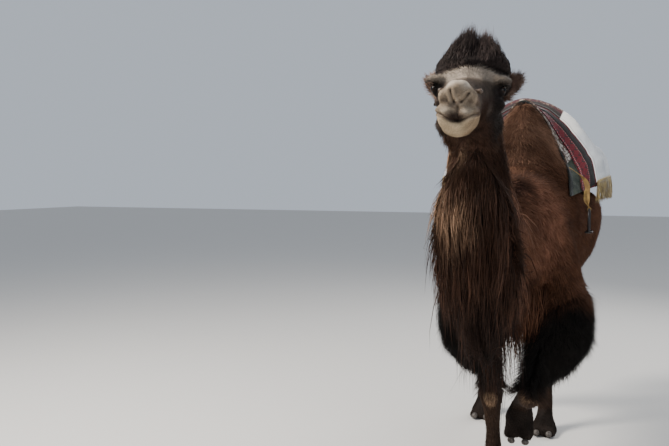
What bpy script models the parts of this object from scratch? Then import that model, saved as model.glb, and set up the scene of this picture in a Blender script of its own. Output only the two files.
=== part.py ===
"""A saddled Bactrian camel in mid step, life size, as a museum shows it, in metres, with +Z up.

The camel faces -Y and its left side is +X. Flesh and coat are one mass of lofted tubes, fused by a
voxel remesh,
thinned to facets and then parted with thin cuts into the body parts that a person would name. The
saddle's
blankets are draped over the finished back, one on the other.
"""

import math

import bmesh
import bpy
import numpy as np
from mathutils import Euler, Matrix, Vector
from mathutils.bvhtree import BVHTree

# ---- driving dimensions --------------------------------------------------------------------------
HUMP_HEIGHT = 2.04          # floor to the tip of the front hump
REAR_HUMP_HEIGHT = 1.99
EYE_CENTRE = Vector((-0.100, -1.300, 1.950))   # the point midway between the eyes
HEAD_PITCH = math.radians(3.0)                # nose below the level, on top of the slope of the face
HEAD_ROLL = math.radians(3.0)                 # the crown leans to the camel's left
HEAD_YAW = math.radians(8.5)                  # the face turns to the camel's left
EYE_RADIUS = 0.021
CUT = 0.0008                # width of the thin cuts between the parts of the body
CLEARANCE = 0.0004          # gap round eyes, ears and nails, which sit in sockets
HEAD_VOXEL, BODY_VOXEL = 0.008, 0.014
HEAD_TRIANGLES, BODY_TRIANGLES = 1000, 2350


# ---- tools ---------------------------------------------------------------------------------------
def clear_scene():
    for obj in list(bpy.data.objects):
        bpy.data.objects.remove(obj)


def material(name, colour, roughness=0.85, metallic=0.0):
    """The named Principled material, made once."""
    made = bpy.data.materials.get(name) or bpy.data.materials.new(name)
    made.use_nodes = True
    shader = made.node_tree.nodes["Principled BSDF"]
    shader.inputs["Base Color"].default_value = (*colour, 1.0)
    shader.inputs["Roughness"].default_value = roughness
    shader.inputs["Metallic"].default_value = metallic
    made.diffuse_color = (*colour, 1.0)
    return made


def add_object(name, mesh, collection):
    obj = bpy.data.objects.new(name, mesh)
    collection.objects.link(obj)
    return obj


def object_from(bm, name, collection):
    mesh = bpy.data.meshes.new(name)
    bmesh.ops.recalc_face_normals(bm, faces=bm.faces)
    bm.to_mesh(mesh)
    bm.free()
    return add_object(name, mesh, collection)


def bake_modifiers(obj):
    """Replaces an object's mesh by what its modifiers make of it."""
    graph = bpy.context.evaluated_depsgraph_get()
    made = bpy.data.meshes.new_from_object(obj.evaluated_get(graph))
    obj.modifiers.clear()
    obj.data = made


def catmull(rows, steps):
    """Rows along a smooth curve through the given rows, with that many steps between neighbours."""
    rows = np.asarray(rows, float)
    p = np.vstack([2 * rows[0] - rows[1], rows, 2 * rows[-1] - rows[-2]])
    made = []
    for i in range(1, len(p) - 2):
        for t in np.arange(steps) / steps:
            made.append(
                0.5
                * (
                    2 * p[i]
                    + (p[i + 1] - p[i - 1]) * t
                    + (2 * p[i - 1] - 5 * p[i] + 4 * p[i + 1] - p[i + 2]) * t**2
                    + (3 * p[i] - p[i - 1] - 3 * p[i + 1] + p[i + 2]) * t**3
                )
            )
    made.append(p[-2])
    return np.array(made)


def tube(bm, stations, place=None, sides=20, steps=4):
    """Adds a closed loft to bm. A station is (x, y, z, side, front, back): its centre, and its
    half sizes across
    (along X), on the belly or front side, and on the back side. Paths run from the head to the
    tail, or down."""
    rows = catmull(stations, steps)
    place = place or Matrix.Identity(4)
    tangents = np.gradient(rows[:, :3], axis=0)
    rings = []
    for row, tangent in zip(rows, tangents):
        along = Vector(tangent).normalized()
        across = Vector((1, 0, 0))
        across = (across - across.dot(along) * along).normalized()
        front = along.cross(across)
        side, ahead, behind = np.maximum(row[3:6], 0.004)
        ring = []
        for k in range(sides):
            angle = 2 * math.pi * k / sides
            reach = ahead if math.sin(angle) > 0 else behind
            point = Vector(row[:3]) + across * side * math.cos(angle) + front * reach * math.sin(angle)
            ring.append(bm.verts.new(place @ point))
        rings.append(ring)
    for first, second in zip(rings, rings[1:]):
        for k in range(sides):
            following = (k + 1) % sides
            bm.faces.new((first[k], first[following], second[following], second[k]))
    bm.faces.new(rings[0])
    bm.faces.new(rings[-1])


def blob(bm, centre, radii, turn=(0, 0, 0), place=None, segments=20, rings=12):
    """Adds an ellipsoid: a lobe, a lip or a muscle. turn is in degrees."""
    turned = Euler([math.radians(a) for a in turn]).to_matrix().to_4x4()
    matrix = Matrix.Translation(centre) @ turned @ Matrix.Diagonal((*radii, 1))
    matrix = (place or Matrix.Identity(4)) @ matrix
    bmesh.ops.create_uvsphere(bm, u_segments=segments, v_segments=rings, radius=1, matrix=matrix)


def fuse(bm, name, voxel, smoothing, triangles, collection):
    """One smooth skin round all the shapes in bm, thinned to about that many triangles."""
    obj = object_from(bm, name, collection)
    remesh = obj.modifiers.new("fuse", "REMESH")
    remesh.mode = "VOXEL"
    remesh.voxel_size = voxel
    smooth = obj.modifiers.new("smooth", "SMOOTH")
    smooth.factor = 0.5
    smooth.iterations = smoothing
    bake_modifiers(obj)
    thin = obj.modifiers.new("thin", "DECIMATE")
    obj.data.calc_loop_triangles()
    thin.ratio = triangles / len(obj.data.loop_triangles)
    thin.use_collapse_triangulate = True
    bake_modifiers(obj)
    return obj


def keep_side(obj, point, normal):
    """Cuts an object flat at a plane and keeps what lies on the side that the normal points to."""
    bm = bmesh.new()
    bm.from_mesh(obj.data)
    geometry = bm.verts[:] + bm.edges[:] + bm.faces[:]
    cut = bmesh.ops.bisect_plane(
        bm, geom=geometry, dist=1e-6, plane_co=point, plane_no=normal, clear_inner=True
    )
    rim = [e for e in cut["geom_cut"] if isinstance(e, bmesh.types.BMEdge)]
    capped = bmesh.ops.holes_fill(bm, edges=rim, sides=0)
    bmesh.ops.triangulate(bm, faces=capped["faces"])
    bmesh.ops.recalc_face_normals(bm, faces=bm.faces)
    bm.to_mesh(obj.data)
    bm.free()


def islands(obj):
    """The separate closed bodies of an object, as meshes, the largest first."""
    bm = bmesh.new()
    bm.from_mesh(obj.data)
    bm.verts.ensure_lookup_table()
    found, seen = [], set()
    for start in bm.verts:
        if start.index in seen:
            continue
        group, todo = set(), [start]
        while todo:
            vert = todo.pop()
            if vert.index in group:
                continue
            group.add(vert.index)
            todo += [edge.other_vert(vert) for edge in vert.link_edges]
        seen |= group
        found.append(group)
    bm.free()
    meshes = []
    for group in sorted(found, key=len, reverse=True):
        part = bmesh.new()
        part.from_mesh(obj.data)
        outside = [v for v in part.verts if v.index not in group]
        bmesh.ops.delete(part, geom=outside, context="VERTS")
        mesh = bpy.data.meshes.new(obj.name)
        part.to_mesh(mesh)
        part.free()
        meshes.append(mesh)
    return meshes


def subtract(obj, cutter):
    """Takes a cutter out of an object."""
    modifier = obj.modifiers.new("cut", "BOOLEAN")
    modifier.operation = "DIFFERENCE"
    modifier.object = cutter
    bake_modifiers(obj)


def plate(name, centre, normal, half_sizes, frame, collection):
    """A thin cutter across a limb, given in a frame. half_sizes run level, and then up the plate."""
    bm = bmesh.new()
    bmesh.ops.create_cube(bm, size=2)
    obj = object_from(bm, name, collection)
    facing = Vector(normal).to_track_quat("Z", "Y").to_matrix().to_4x4()
    scale = Matrix.Diagonal((half_sizes[0], half_sizes[1], CUT / 2, 1))
    obj.data.transform(frame @ Matrix.Translation(centre) @ facing @ scale)
    obj.hide_render = True
    obj.display_type = "WIRE"
    return obj


def part_off(obj, new_name, anchor, plates, frame, collection, cutters):
    """Parts obj with thin plates. The body nearer the anchor takes the new name, and the other one
    stays obj."""
    for index, (centre, normal, half_sizes) in enumerate(plates):
        subtract(obj, plate(f"cut_{new_name}_{index}", centre, normal, half_sizes, frame, cutters))
    meshes = islands(obj)[:2]
    if len(meshes) != 2 or len(meshes[1].vertices) < 30:
        raise ValueError(f"the cut for {new_name} doesn't go through")
    distances = []
    for mesh in meshes:
        middle = sum((v.co for v in mesh.vertices), Vector()) / len(mesh.vertices)
        distances.append((middle - frame @ Vector(anchor)).length)
    if distances[0] < distances[1]:
        meshes.reverse()
    obj.data = meshes[0]
    return add_object(new_name, meshes[1], collection)


def socket_for(holder, piece, cutters):
    """Sinks a piece into its holder: the holder loses the piece's own shape, grown by the clearance."""
    grown = add_object(f"socket_{piece.name}", piece.data.copy(), cutters)
    grown.hide_render = True
    grown.display_type = "WIRE"
    for vert, source in zip(grown.data.vertices, piece.data.vertices):
        vert.co = source.co + source.normal * CLEARANCE * 1.6
    subtract(holder, grown)


# ---- the head ------------------------------------------------------------------------------------
HEAD = (
    Matrix.Translation(EYE_CENTRE)
    @ Matrix.Rotation(HEAD_YAW, 4, "Z")
    @ Matrix.Rotation(HEAD_ROLL, 4, "Y")
    @ Matrix.Rotation(HEAD_PITCH, 4, "X")
)

# (x, y, z, side, below, above) in the head's own frame, whose origin is midway between the eyes.
SKULL = [
    (0, -0.367, -0.083, 0.022, 0.024, 0.022),
    (0, -0.357, -0.081, 0.050, 0.050, 0.048),
    (0, -0.327, -0.074, 0.072, 0.074, 0.072),
    (0, -0.276, -0.066, 0.077, 0.084, 0.082),
    (0, -0.208, -0.058, 0.072, 0.078, 0.086),
    (0, -0.140, -0.050, 0.080, 0.090, 0.094),
    (0, -0.072, -0.042, 0.104, 0.118, 0.112),
    (0, 0.000, -0.036, 0.136, 0.142, 0.128),
    (0, 0.070, -0.036, 0.146, 0.152, 0.132),
    (0, 0.135, -0.036, 0.136, 0.146, 0.118),
    (0, 0.190, -0.040, 0.100, 0.110, 0.086),
    (0, 0.215, -0.040, 0.046, 0.050, 0.040),
]
CREST = [
    (0.034, 0.085, 0.278, 0.034, 0.030, 0.030),
    (0.034, 0.080, 0.240, 0.066, 0.066, 0.060),
    (0.030, 0.076, 0.190, 0.104, 0.106, 0.094),
    (0.022, 0.074, 0.135, 0.146, 0.138, 0.124),
    (0.012, 0.080, 0.070, 0.174, 0.138, 0.142),
    (0.004, 0.100, 0.000, 0.158, 0.080, 0.130),
]
EYE_PLACE = Vector((0.128, -0.010, 0.012))
EAR_PLACE = Vector((0.190, 0.118, 0.036))


def add_head(bm):
    """Skull, lips, nose, brows and cheeks, with the tuft of the crown."""
    tube(bm, SKULL, HEAD)
    tube(bm, CREST, HEAD)
    for flip in (1, -1):
        def at(x, y, z):
            return (flip * x, y, z)

        # upper lip lobe
        blob(bm, at(0.036, -0.333, -0.100), (0.046, 0.050, 0.048), (8, 0, -12 * flip), HEAD)
        # nostril wing
        blob(bm, at(0.03, -0.337, -0.030), (0.034, 0.046, 0.036), (-18, 0, -14 * flip), HEAD)
        # side of the lip
        blob(bm, at(0.052, -0.281, -0.112), (0.034, 0.070, 0.040), (6, 0, -6 * flip), HEAD)
        blob(bm, at(0.122, 0.006, 0.056), (0.058, 0.070, 0.030), (6, 14 * flip, 16 * flip), HEAD)  # brow
        # cheek bone
        blob(bm, at(0.126, 0.016, -0.050), (0.034, 0.080, 0.030), (-10, 0, 8 * flip), HEAD)
        # jaw muscle
        blob(bm, at(0.092, 0.082, -0.136), (0.052, 0.088, 0.070), (-12, 0, 6 * flip), HEAD)
    # lower lip, chin
    blob(bm, (0, -0.297, -0.148), (0.064, 0.074, 0.034), (-6, 0, 0), HEAD)
    # lower jaw
    blob(bm, (0, -0.170, -0.120), (0.050, 0.170, 0.050), (4, 0, 0), HEAD)
    # bridge of the nose
    blob(bm, (0, -0.281, -0.012), (0.050, 0.120, 0.040), (-4, 0, 0), HEAD)


def make_eye(name, flip, collection):
    bm = bmesh.new()
    centre = HEAD @ Vector((flip * EYE_PLACE.x, EYE_PLACE.y, EYE_PLACE.z))
    bmesh.ops.create_uvsphere(
        bm, u_segments=12, v_segments=7, radius=EYE_RADIUS, matrix=Matrix.Translation(centre)
    )
    return object_from(bm, name, collection)


def make_ear(name, flip, collection):
    """A short round ear, cupped in front, its fur included."""
    length, width, thickness = 0.062, 0.040, 0.026
    bm = bmesh.new()
    blob(bm, (0, 0, 0), (width, thickness, length), segments=10, rings=7)
    for vert in bm.verts:
        if vert.co.y < 0:
            shell = 1 - (vert.co.x / width) ** 2 - ((vert.co.z - 0.01) / length) ** 2
            vert.co.y += max(0.0, shell) * thickness * 1.2
    tilt = Euler((math.radians(12), math.radians(52 * flip), math.radians(28 * flip)))
    moved = Matrix.Translation((flip * EAR_PLACE.x, EAR_PLACE.y, EAR_PLACE.z))
    place = HEAD @ moved @ tilt.to_matrix().to_4x4()
    bmesh.ops.transform(bm, matrix=place, verts=bm.verts)
    return object_from(bm, name, collection)


# ---- the neck, trunk and tail --------------------------------------------------------------------
NECK = [
    (-0.098, -1.205, 1.955, 0.108, 0.100, 0.090),
    (-0.092, -1.175, 1.800, 0.140, 0.125, 0.120),
    (-0.086, -1.145, 1.620, 0.162, 0.140, 0.140),
    (-0.080, -1.085, 1.460, 0.178, 0.165, 0.165),
    (-0.072, -0.980, 1.335, 0.190, 0.200, 0.195),
    (-0.055, -0.850, 1.290, 0.212, 0.265, 0.255),
    (-0.040, -0.700, 1.300, 0.255, 0.350, 0.320),
]
BEARD = [
    (-0.096, -1.300, 1.745, 0.060, 0.035, 0.070),
    (-0.090, -1.285, 1.620, 0.138, 0.060, 0.110),
    (-0.082, -1.255, 1.460, 0.192, 0.085, 0.150),
    (-0.078, -1.195, 1.310, 0.215, 0.105, 0.180),
    (-0.074, -1.115, 1.170, 0.200, 0.115, 0.190),
    (-0.070, -1.030, 1.040, 0.155, 0.105, 0.180),
    (-0.058, -0.960, 0.930, 0.100, 0.075, 0.130),
    (-0.050, -0.925, 0.850, 0.040, 0.035, 0.050),
]
TRUNK = [
    (-0.035, -0.860, 1.200, 0.080, 0.120, 0.100),
    (-0.035, -0.790, 1.240, 0.185, 0.290, 0.230),
    (-0.030, -0.660, 1.320, 0.255, 0.400, 0.300),
    (-0.022, -0.450, 1.370, 0.304, 0.450, 0.310),
    (-0.015, -0.180, 1.390, 0.374, 0.455, 0.305),
    (-0.012, 0.100, 1.390, 0.408, 0.445, 0.300),
    (-0.018, 0.360, 1.390, 0.396, 0.385, 0.300),
    (-0.035, 0.580, 1.370, 0.360, 0.330, 0.290),
    (-0.055, 0.780, 1.340, 0.296, 0.290, 0.260),
    (-0.070, 0.915, 1.310, 0.190, 0.220, 0.180),
    (-0.075, 0.960, 1.300, 0.070, 0.080, 0.070),
]
TAIL = [
    (-0.074, 0.930, 1.455, 0.050, 0.050, 0.040),
    (-0.075, 1.012, 1.395, 0.042, 0.040, 0.036),
    (-0.076, 1.078, 1.285, 0.034, 0.032, 0.032),
    (-0.076, 1.104, 1.150, 0.036, 0.034, 0.034),
    (-0.075, 1.100, 1.010, 0.048, 0.046, 0.046),
    (-0.073, 1.090, 0.900, 0.038, 0.036, 0.038),
    (-0.072, 1.082, 0.830, 0.010, 0.010, 0.012),
]


def hump(x, y, top, lean):
    """Stations of a hump, from its tip down to the back."""
    return [
        (x + lean, y, top, 0.020, 0.024, 0.024),
        (x + lean * 0.9, y, top - 0.035, 0.066, 0.078, 0.078),
        (x + lean * 0.7, y, top - 0.110, 0.118, 0.138, 0.138),
        (x + lean * 0.4, y, top - 0.230, 0.184, 0.204, 0.204),
        (x, y, top - 0.380, 0.262, 0.266, 0.266),
        (x, y, top - 0.560, 0.330, 0.320, 0.320),
    ]


# ---- the legs ------------------------------------------------------------------------------------
RIGHT_FORE = [
    (-0.140, -0.500, 1.480, 0.090, 0.150, 0.140),
    (-0.200, -0.520, 1.330, 0.110, 0.190, 0.180),
    (-0.245, -0.520, 1.130, 0.115, 0.175, 0.175),
    (-0.238, -0.500, 0.960, 0.100, 0.125, 0.135),
    (-0.190, -0.520, 0.790, 0.074, 0.084, 0.088),
    (-0.138, -0.545, 0.630, 0.064, 0.068, 0.066),
    (-0.115, -0.560, 0.520, 0.074, 0.074, 0.068),
    (-0.107, -0.552, 0.420, 0.050, 0.048, 0.052),
    (-0.101, -0.548, 0.300, 0.040, 0.043, 0.048),
    (-0.098, -0.550, 0.175, 0.055, 0.054, 0.058),
    (-0.096, -0.570, 0.095, 0.066, 0.070, 0.068),
    (-0.095, -0.590, 0.040, 0.094, 0.100, 0.104),
    (-0.095, -0.592, -0.020, 0.098, 0.106, 0.110),
]
LEFT_FORE = [
    (0.110, -0.500, 1.480, 0.090, 0.150, 0.140),
    (0.168, -0.530, 1.330, 0.108, 0.190, 0.180),
    (0.212, -0.525, 1.140, 0.112, 0.172, 0.172),
    (0.206, -0.550, 0.990, 0.100, 0.125, 0.135),
    (0.162, -0.640, 0.840, 0.076, 0.086, 0.090),
    (0.122, -0.735, 0.700, 0.066, 0.070, 0.068),
    (0.104, -0.775, 0.600, 0.074, 0.074, 0.070),
    (0.088, -0.680, 0.535, 0.052, 0.050, 0.052),
    (0.056, -0.530, 0.490, 0.042, 0.043, 0.046),
    (0.030, -0.428, 0.450, 0.052, 0.050, 0.052),
    (0.018, -0.392, 0.395, 0.062, 0.058, 0.058),
    (0.012, -0.390, 0.345, 0.084, 0.054, 0.058),
    (0.012, -0.400, 0.300, 0.068, 0.032, 0.042),
]
LEFT_HIND = [
    (0.125, 0.640, 1.430, 0.160, 0.240, 0.220),
    (0.140, 0.570, 1.220, 0.150, 0.240, 0.220),
    (0.130, 0.480, 1.020, 0.118, 0.175, 0.175),
    (0.105, 0.490, 0.850, 0.078, 0.100, 0.105),
    (0.085, 0.555, 0.680, 0.056, 0.070, 0.078),
    (0.078, 0.540, 0.540, 0.042, 0.047, 0.052),
    (0.070, 0.495, 0.350, 0.037, 0.041, 0.045),
    (0.067, 0.462, 0.175, 0.049, 0.050, 0.054),
    (0.065, 0.435, 0.095, 0.058, 0.062, 0.062),
    (0.065, 0.415, 0.040, 0.082, 0.090, 0.092),
    (0.065, 0.412, -0.020, 0.086, 0.096, 0.098),
]
RIGHT_HIND = [
    (-0.205, 0.650, 1.430, 0.160, 0.240, 0.220),
    (-0.232, 0.600, 1.220, 0.150, 0.240, 0.220),
    (-0.252, 0.560, 1.020, 0.118, 0.175, 0.175),
    (-0.280, 0.610, 0.850, 0.078, 0.100, 0.105),
    (-0.310, 0.705, 0.680, 0.056, 0.070, 0.078),
    (-0.322, 0.705, 0.540, 0.042, 0.047, 0.052),
    (-0.338, 0.670, 0.350, 0.037, 0.041, 0.045),
    (-0.346, 0.640, 0.175, 0.049, 0.050, 0.054),
    (-0.350, 0.613, 0.095, 0.058, 0.062, 0.062),
    (-0.352, 0.594, 0.040, 0.082, 0.090, 0.092),
    (-0.352, 0.591, -0.020, 0.086, 0.096, 0.098),
]
RIGHT_CHAP = [
    (-0.282, -0.480, 1.090, 0.085, 0.120, 0.130),
    (-0.292, -0.485, 0.990, 0.116, 0.150, 0.165),
    (-0.290, -0.490, 0.880, 0.128, 0.165, 0.180),
    (-0.272, -0.500, 0.780, 0.120, 0.150, 0.170),
    (-0.235, -0.510, 0.690, 0.090, 0.110, 0.130),
    (-0.190, -0.520, 0.620, 0.045, 0.055, 0.060),
]
LEFT_CHAP = [
    (0.225, -0.500, 1.110, 0.110, 0.120, 0.130),
    (0.228, -0.520, 1.010, 0.150, 0.150, 0.165),
    (0.226, -0.550, 0.900, 0.166, 0.165, 0.180),
    (0.215, -0.585, 0.800, 0.154, 0.150, 0.170),
    (0.188, -0.620, 0.710, 0.112, 0.110, 0.130),
    (0.155, -0.650, 0.640, 0.050, 0.055, 0.060),
]


def add_toes(bm, foot, width, place=None):
    """The two broad toes at the front of a foot pad."""
    for flip in (1, -1):
        centre = (foot[0] + flip * width * 0.50, foot[1] - width * 0.62, foot[2])
        blob(bm, centre, (width * 0.50, width * 0.72, width * 0.46), (0, 0, 4 * flip), place)


RIGHT_FORE_FOOT = (-0.095, -0.612, 0.030)
LEFT_HIND_FOOT = (0.065, 0.395, 0.026)
RIGHT_HIND_FOOT = (-0.352, 0.574, 0.026)
FOOT_WIDTH, HIND_FOOT_WIDTH = 0.096, 0.084
# The lifted foot hangs from its fetlock with its toes down.
LIFTED = Matrix.Translation((0.012, -0.404, 0.330)) @ Matrix.Rotation(math.radians(66), 4, "X")


def add_body(bm):
    """Everything behind the head, coat included."""
    tube(bm, NECK)
    tube(bm, BEARD)
    tube(bm, TRUNK, sides=28)
    tube(bm, hump(-0.010, -0.270, HUMP_HEIGHT, 0.012))
    tube(bm, hump(-0.020, 0.400, REAR_HUMP_HEIGHT, -0.020))
    tube(bm, TAIL)
    tube(bm, RIGHT_FORE)
    tube(bm, LEFT_FORE)
    tube(bm, LEFT_HIND)
    tube(bm, RIGHT_HIND)
    tube(bm, RIGHT_CHAP)
    tube(bm, LEFT_CHAP)
    add_toes(bm, RIGHT_FORE_FOOT, FOOT_WIDTH)
    add_toes(bm, LEFT_HIND_FOOT, HIND_FOOT_WIDTH)
    add_toes(bm, RIGHT_HIND_FOOT, HIND_FOOT_WIDTH)
    add_toes(bm, (0, 0, 0), FOOT_WIDTH * 0.92, LIFTED)


def make_nails(collection):
    """Two broad nails on each foot, as (nail, foot's node)."""
    made = []
    feet = (
        ("fore_right", RIGHT_FORE_FOOT, FOOT_WIDTH, None),
        ("hind_left", LEFT_HIND_FOOT, HIND_FOOT_WIDTH, None),
        ("hind_right", RIGHT_HIND_FOOT, HIND_FOOT_WIDTH, None),
        ("fore_left", (0, 0, 0), FOOT_WIDTH * 0.92, LIFTED),
    )
    for foot, centre, width, place in feet:
        names = ("outer", "inner") if centre[0] >= 0 else ("inner", "outer")
        for flip, side in zip((1, -1), names):
            at = (centre[0] + flip * width * 0.52, centre[1] - width * 1.22, centre[2] + width * 0.02)
            bm = bmesh.new()
            size = (width * 0.27, width * 0.20, width * 0.25)
            blob(bm, at, size, (-24, 0, 8 * flip), place, segments=8, rings=5)
            made.append((object_from(bm, f"nail_{foot}_{side}", collection), f"{foot}_foot"))
    return made


# ---- the whole animal ----------------------------------------------------------------------------
THROAT_POINT, THROAT_NORMAL = Vector((-0.090, -1.225, 1.790)), Vector((0, -0.50, 0.866))


def make_animal(collection, cutters):
    """Fuses the masses, then parts them. Returns {node: object}."""
    head_mass = bmesh.new()
    add_head(head_mass)
    tube(head_mass, NECK[:3])
    tube(head_mass, BEARD[:3])
    head = fuse(head_mass, "head", HEAD_VOXEL, 5, HEAD_TRIANGLES, collection)
    body_mass = bmesh.new()
    add_body(body_mass)
    add_head(body_mass)
    trunk = fuse(body_mass, "trunk", BODY_VOXEL, 5, BODY_TRIANGLES, collection)
    keep_side(head, THROAT_POINT + THROAT_NORMAL * CUT / 2, THROAT_NORMAL)
    keep_side(trunk, THROAT_POINT - THROAT_NORMAL * CUT / 2, -THROAT_NORMAL)
    keep_side(trunk, Vector((0, 0, 0)), Vector((0, 0, 1)))
    nodes = {"head": head, "trunk": trunk}

    def part(source, name, anchor, *plates, frame=Matrix.Identity(4)):
        nodes[name] = part_off(nodes[source], name, anchor, plates, frame, collection, cutters)

    crown = ((0, 0.10, 0.108), (0, 0.10, 1), (0.30, 0.30))
    gape = ((0, -0.215, -0.114), (0, 0.02, 1), (0.17, 0.195))
    jaw_back = ((0, -0.030, -0.200), (0, 1, 0.25), (0.17, 0.095))
    part("head", "crest", (0, 0.08, 0.18), crown, frame=HEAD)
    part("head", "jaw", (0, -0.25, -0.16), gape, jaw_back, frame=HEAD)
    part("trunk", "neck_upper", (-0.09, -1.22, 1.62),
         ((-0.08, -1.14, 1.47), (0, -0.45, 0.893), (0.36, 0.36)))
    part("trunk", "neck_lower", (-0.07, -1.10, 1.25),
         ((-0.05, -0.86, 1.28), (0, -0.98, 0.20), (0.34, 0.60)))
    part("trunk", "hump_front", (-0.01, -0.27, 1.85), ((-0.01, -0.27, 1.715), (0, 0, 1), (0.40, 0.335)))
    part("trunk", "hump_rear", (-0.02, 0.40, 1.85), ((-0.02, 0.42, 1.715), (0, 0, 1), (0.40, 0.335)))
    part("trunk", "tail", (-0.075, 1.07, 1.15), ((-0.075, 0.985, 1.420), (0, 0.95, 0.31), (0.14, 0.16)))
    part("trunk", "fore_right_upper", (-0.25, -0.52, 0.70),
         ((-0.30, -0.50, 1.027), (0.38, 0, 0.925), (0.31, 0.345)))
    part("trunk", "fore_left_upper", (0.20, -0.60, 0.70),
         ((0.26, -0.55, 1.000), (-0.38, 0, 0.925), (0.28, 0.32)))
    part("trunk", "hind_left_upper", (0.10, 0.50, 0.60),
         ((0.16, 0.49, 1.000), (-0.20, 0, 0.98), (0.30, 0.20)))
    part("trunk", "hind_right_upper", (-0.30, 0.65, 0.60),
         ((-0.28, 0.57, 1.000), (0.20, 0, 0.98), (0.30, 0.21)))
    knee, fetlock = (0.12, 0.12), (0.13, 0.13)
    part("fore_right_upper", "fore_right_lower", (-0.10, -0.56, 0.20),
         ((-0.115, -0.56, 0.545), (0, 0, 1), knee))
    part("fore_right_lower", "fore_right_foot", (-0.10, -0.60, 0.06),
         ((-0.098, -0.56, 0.165), (0, 0, 1), fetlock))
    part("fore_left_upper", "fore_left_lower", (0.03, -0.50, 0.42),
         ((0.100, -0.740, 0.600), (0.23, -0.26, 0.95), knee))
    part(
        "fore_left_lower", "fore_left_foot", (0.012, -0.40, 0.33),
        ((0.024, -0.410, 0.425), (0.15, -0.45, 0.88), (0.10, 0.10))
    )
    part("hind_left_upper", "hind_left_lower", (0.07, 0.47, 0.25),
         ((0.085, 0.550, 0.665), (0, 0, 1), knee))
    part("hind_left_lower", "hind_left_foot", (0.065, 0.42, 0.06),
         ((0.067, 0.450, 0.165), (0, 0, 1), fetlock))
    part("hind_right_upper", "hind_right_lower", (-0.34, 0.66, 0.25),
         ((-0.312, 0.700, 0.665), (0, 0, 1), knee))
    part("hind_right_lower", "hind_right_foot", (-0.35, 0.60, 0.06),
         ((-0.347, 0.628, 0.165), (0, 0, 1), fetlock))

    for flip, side in ((1, "left"), (-1, "right")):
        for name, maker in ((f"eye_{side}", make_eye), (f"ear_{side}", make_ear)):
            nodes[name] = maker(name, flip, collection)
            socket_for(nodes["head"], nodes[name], cutters)
            if name.startswith("ear"):
                socket_for(nodes["crest"], nodes[name], cutters)
    for nail, foot in make_nails(collection):
        nodes[nail.name] = nail
        socket_for(nodes[foot], nail, cutters)
    for nail in [n for n in nodes if n.startswith("nail") and "fore_left" not in n]:
        keep_side(nodes[nail], Vector((0, 0, 0.0)), Vector((0, 0, 1)))
    return nodes


# ---- what it wears -------------------------------------------------------------------------------
# the blankets are measured round this line, which runs along Y
BACK_LINE = Vector((-0.015, 0.0, 1.40))
HEM_ANGLE = math.radians(66)                 # how far down each side the blankets hang
BLANKET_ANGLES = np.linspace(-HEM_ANGLE, HEM_ANGLE, 13)
BLANKET_ROWS = [-0.20, -0.165, -0.125, -0.085, -0.03, 0.04, 0.11, 0.18, 0.25, 0.32, 0.39]
FRONT_SWEEP = 0.25                           # how much further forward the hem starts than the top
TOP_SWEEP = 0.085                            # how far the top of the front edge leans over the hump
BLANKET_GAP = 0.0015
# name: first and last row, share of the full angle, thickness
BLANKETS = {
    "felt_base": (0, 10, 1.0, 0.012),
    "rug_mottled": (0, 4, 0.45, 0.007),
    "rug_crimson": (1, 9, 1.0, 0.008),
    "rug_dark": (2, 8, 1.0, 0.008),
    "sheet_pale": (3, 8, 1.0, 0.006),
}
# The stiff blankets slope like a roof from the hump to the hem: reach at each angle in degrees,
# and how far each
# row follows it, near the top and down the sides.
ROOF_ANGLES, ROOF_REACH = (0, 20, 28, 37, 45, 53, 66), (0.600, 0.560, 0.520, 0.488, 0.466, 0.455, 0.415)
ROOF_TOP = (0.0, 0.35, 0.70, 1.0, 0.75, 0.38, 0.30, 0.45, 0.70, 0.40, 0.10)
ROOF_SIDE = (0.0, 0.35, 0.70, 1.0, 1.0, 1.0, 1.0, 1.0, 0.9, 0.6, 0.2)
PAD = [
    (0.255, -0.280, 1.630, 0.030, 0.034, 0.034),
    (0.272, -0.210, 1.650, 0.064, 0.070, 0.070),
    (0.292, 0.050, 1.655, 0.080, 0.082, 0.082),
    (0.280, 0.320, 1.645, 0.070, 0.074, 0.074),
    (0.262, 0.400, 1.620, 0.030, 0.034, 0.034),
]
FRINGE_DROP, FRINGE_THICKNESS = 0.105, 0.006
STRAP_Y, STRAP_WIDTH, STRAP_THICKNESS = -0.430, 0.030, 0.005
STRAP_TOP, STRAP_END = 1.665, 1.462
STIRRUP_HEIGHT, STIRRUP_WIDTH, STIRRUP_ROD, STIRRUP_TREAD = 0.130, 0.105, 0.006, 0.021


def tree_of(objects):
    bm = bmesh.new()
    for obj in objects:
        bm.from_mesh(obj.data)
    tree = BVHTree.FromBMesh(bm)
    bm.free()
    return tree


def grown_copy(obj, by, cutters):
    grown = add_object(f"grown_{obj.name}", obj.data.copy(), cutters)
    grown.hide_render = True
    grown.display_type = "WIRE"
    for vert, source in zip(grown.data.vertices, obj.data.vertices):
        vert.co = source.co + source.normal * by
    return grown


def make_pad(name, flip, under, collection, cutters):
    """A stuffed roll that lies along the back beside the humps."""
    bm = bmesh.new()
    tube(bm, [(flip * x - 0.015, *rest) for x, *rest in PAD], sides=10, steps=1)
    pad = object_from(bm, name, collection)
    for obj in under:
        subtract(pad, grown_copy(obj, 0.0015, cutters))
    pad.data = islands(pad)[0]
    return pad


def row_y(row, angle):
    left, down = 1 - row / (len(BLANKET_ROWS) - 1), min(1.0, abs(angle) / HEM_ANGLE)
    return BLANKET_ROWS[row] - FRONT_SWEEP * left * down ** 1.5 - TOP_SWEEP * left ** 2 * (1 - down)


def ray_reach(tree, y, angle):
    """How far from the back line the outermost surface lies, or 0."""
    out = Vector((math.sin(angle), 0, math.cos(angle)))
    hit = tree.ray_cast(BACK_LINE + Vector((0, y, 0)) + out * 1.5, -out)
    return 1.5 - hit[3] if hit[0] else 0.0


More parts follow.
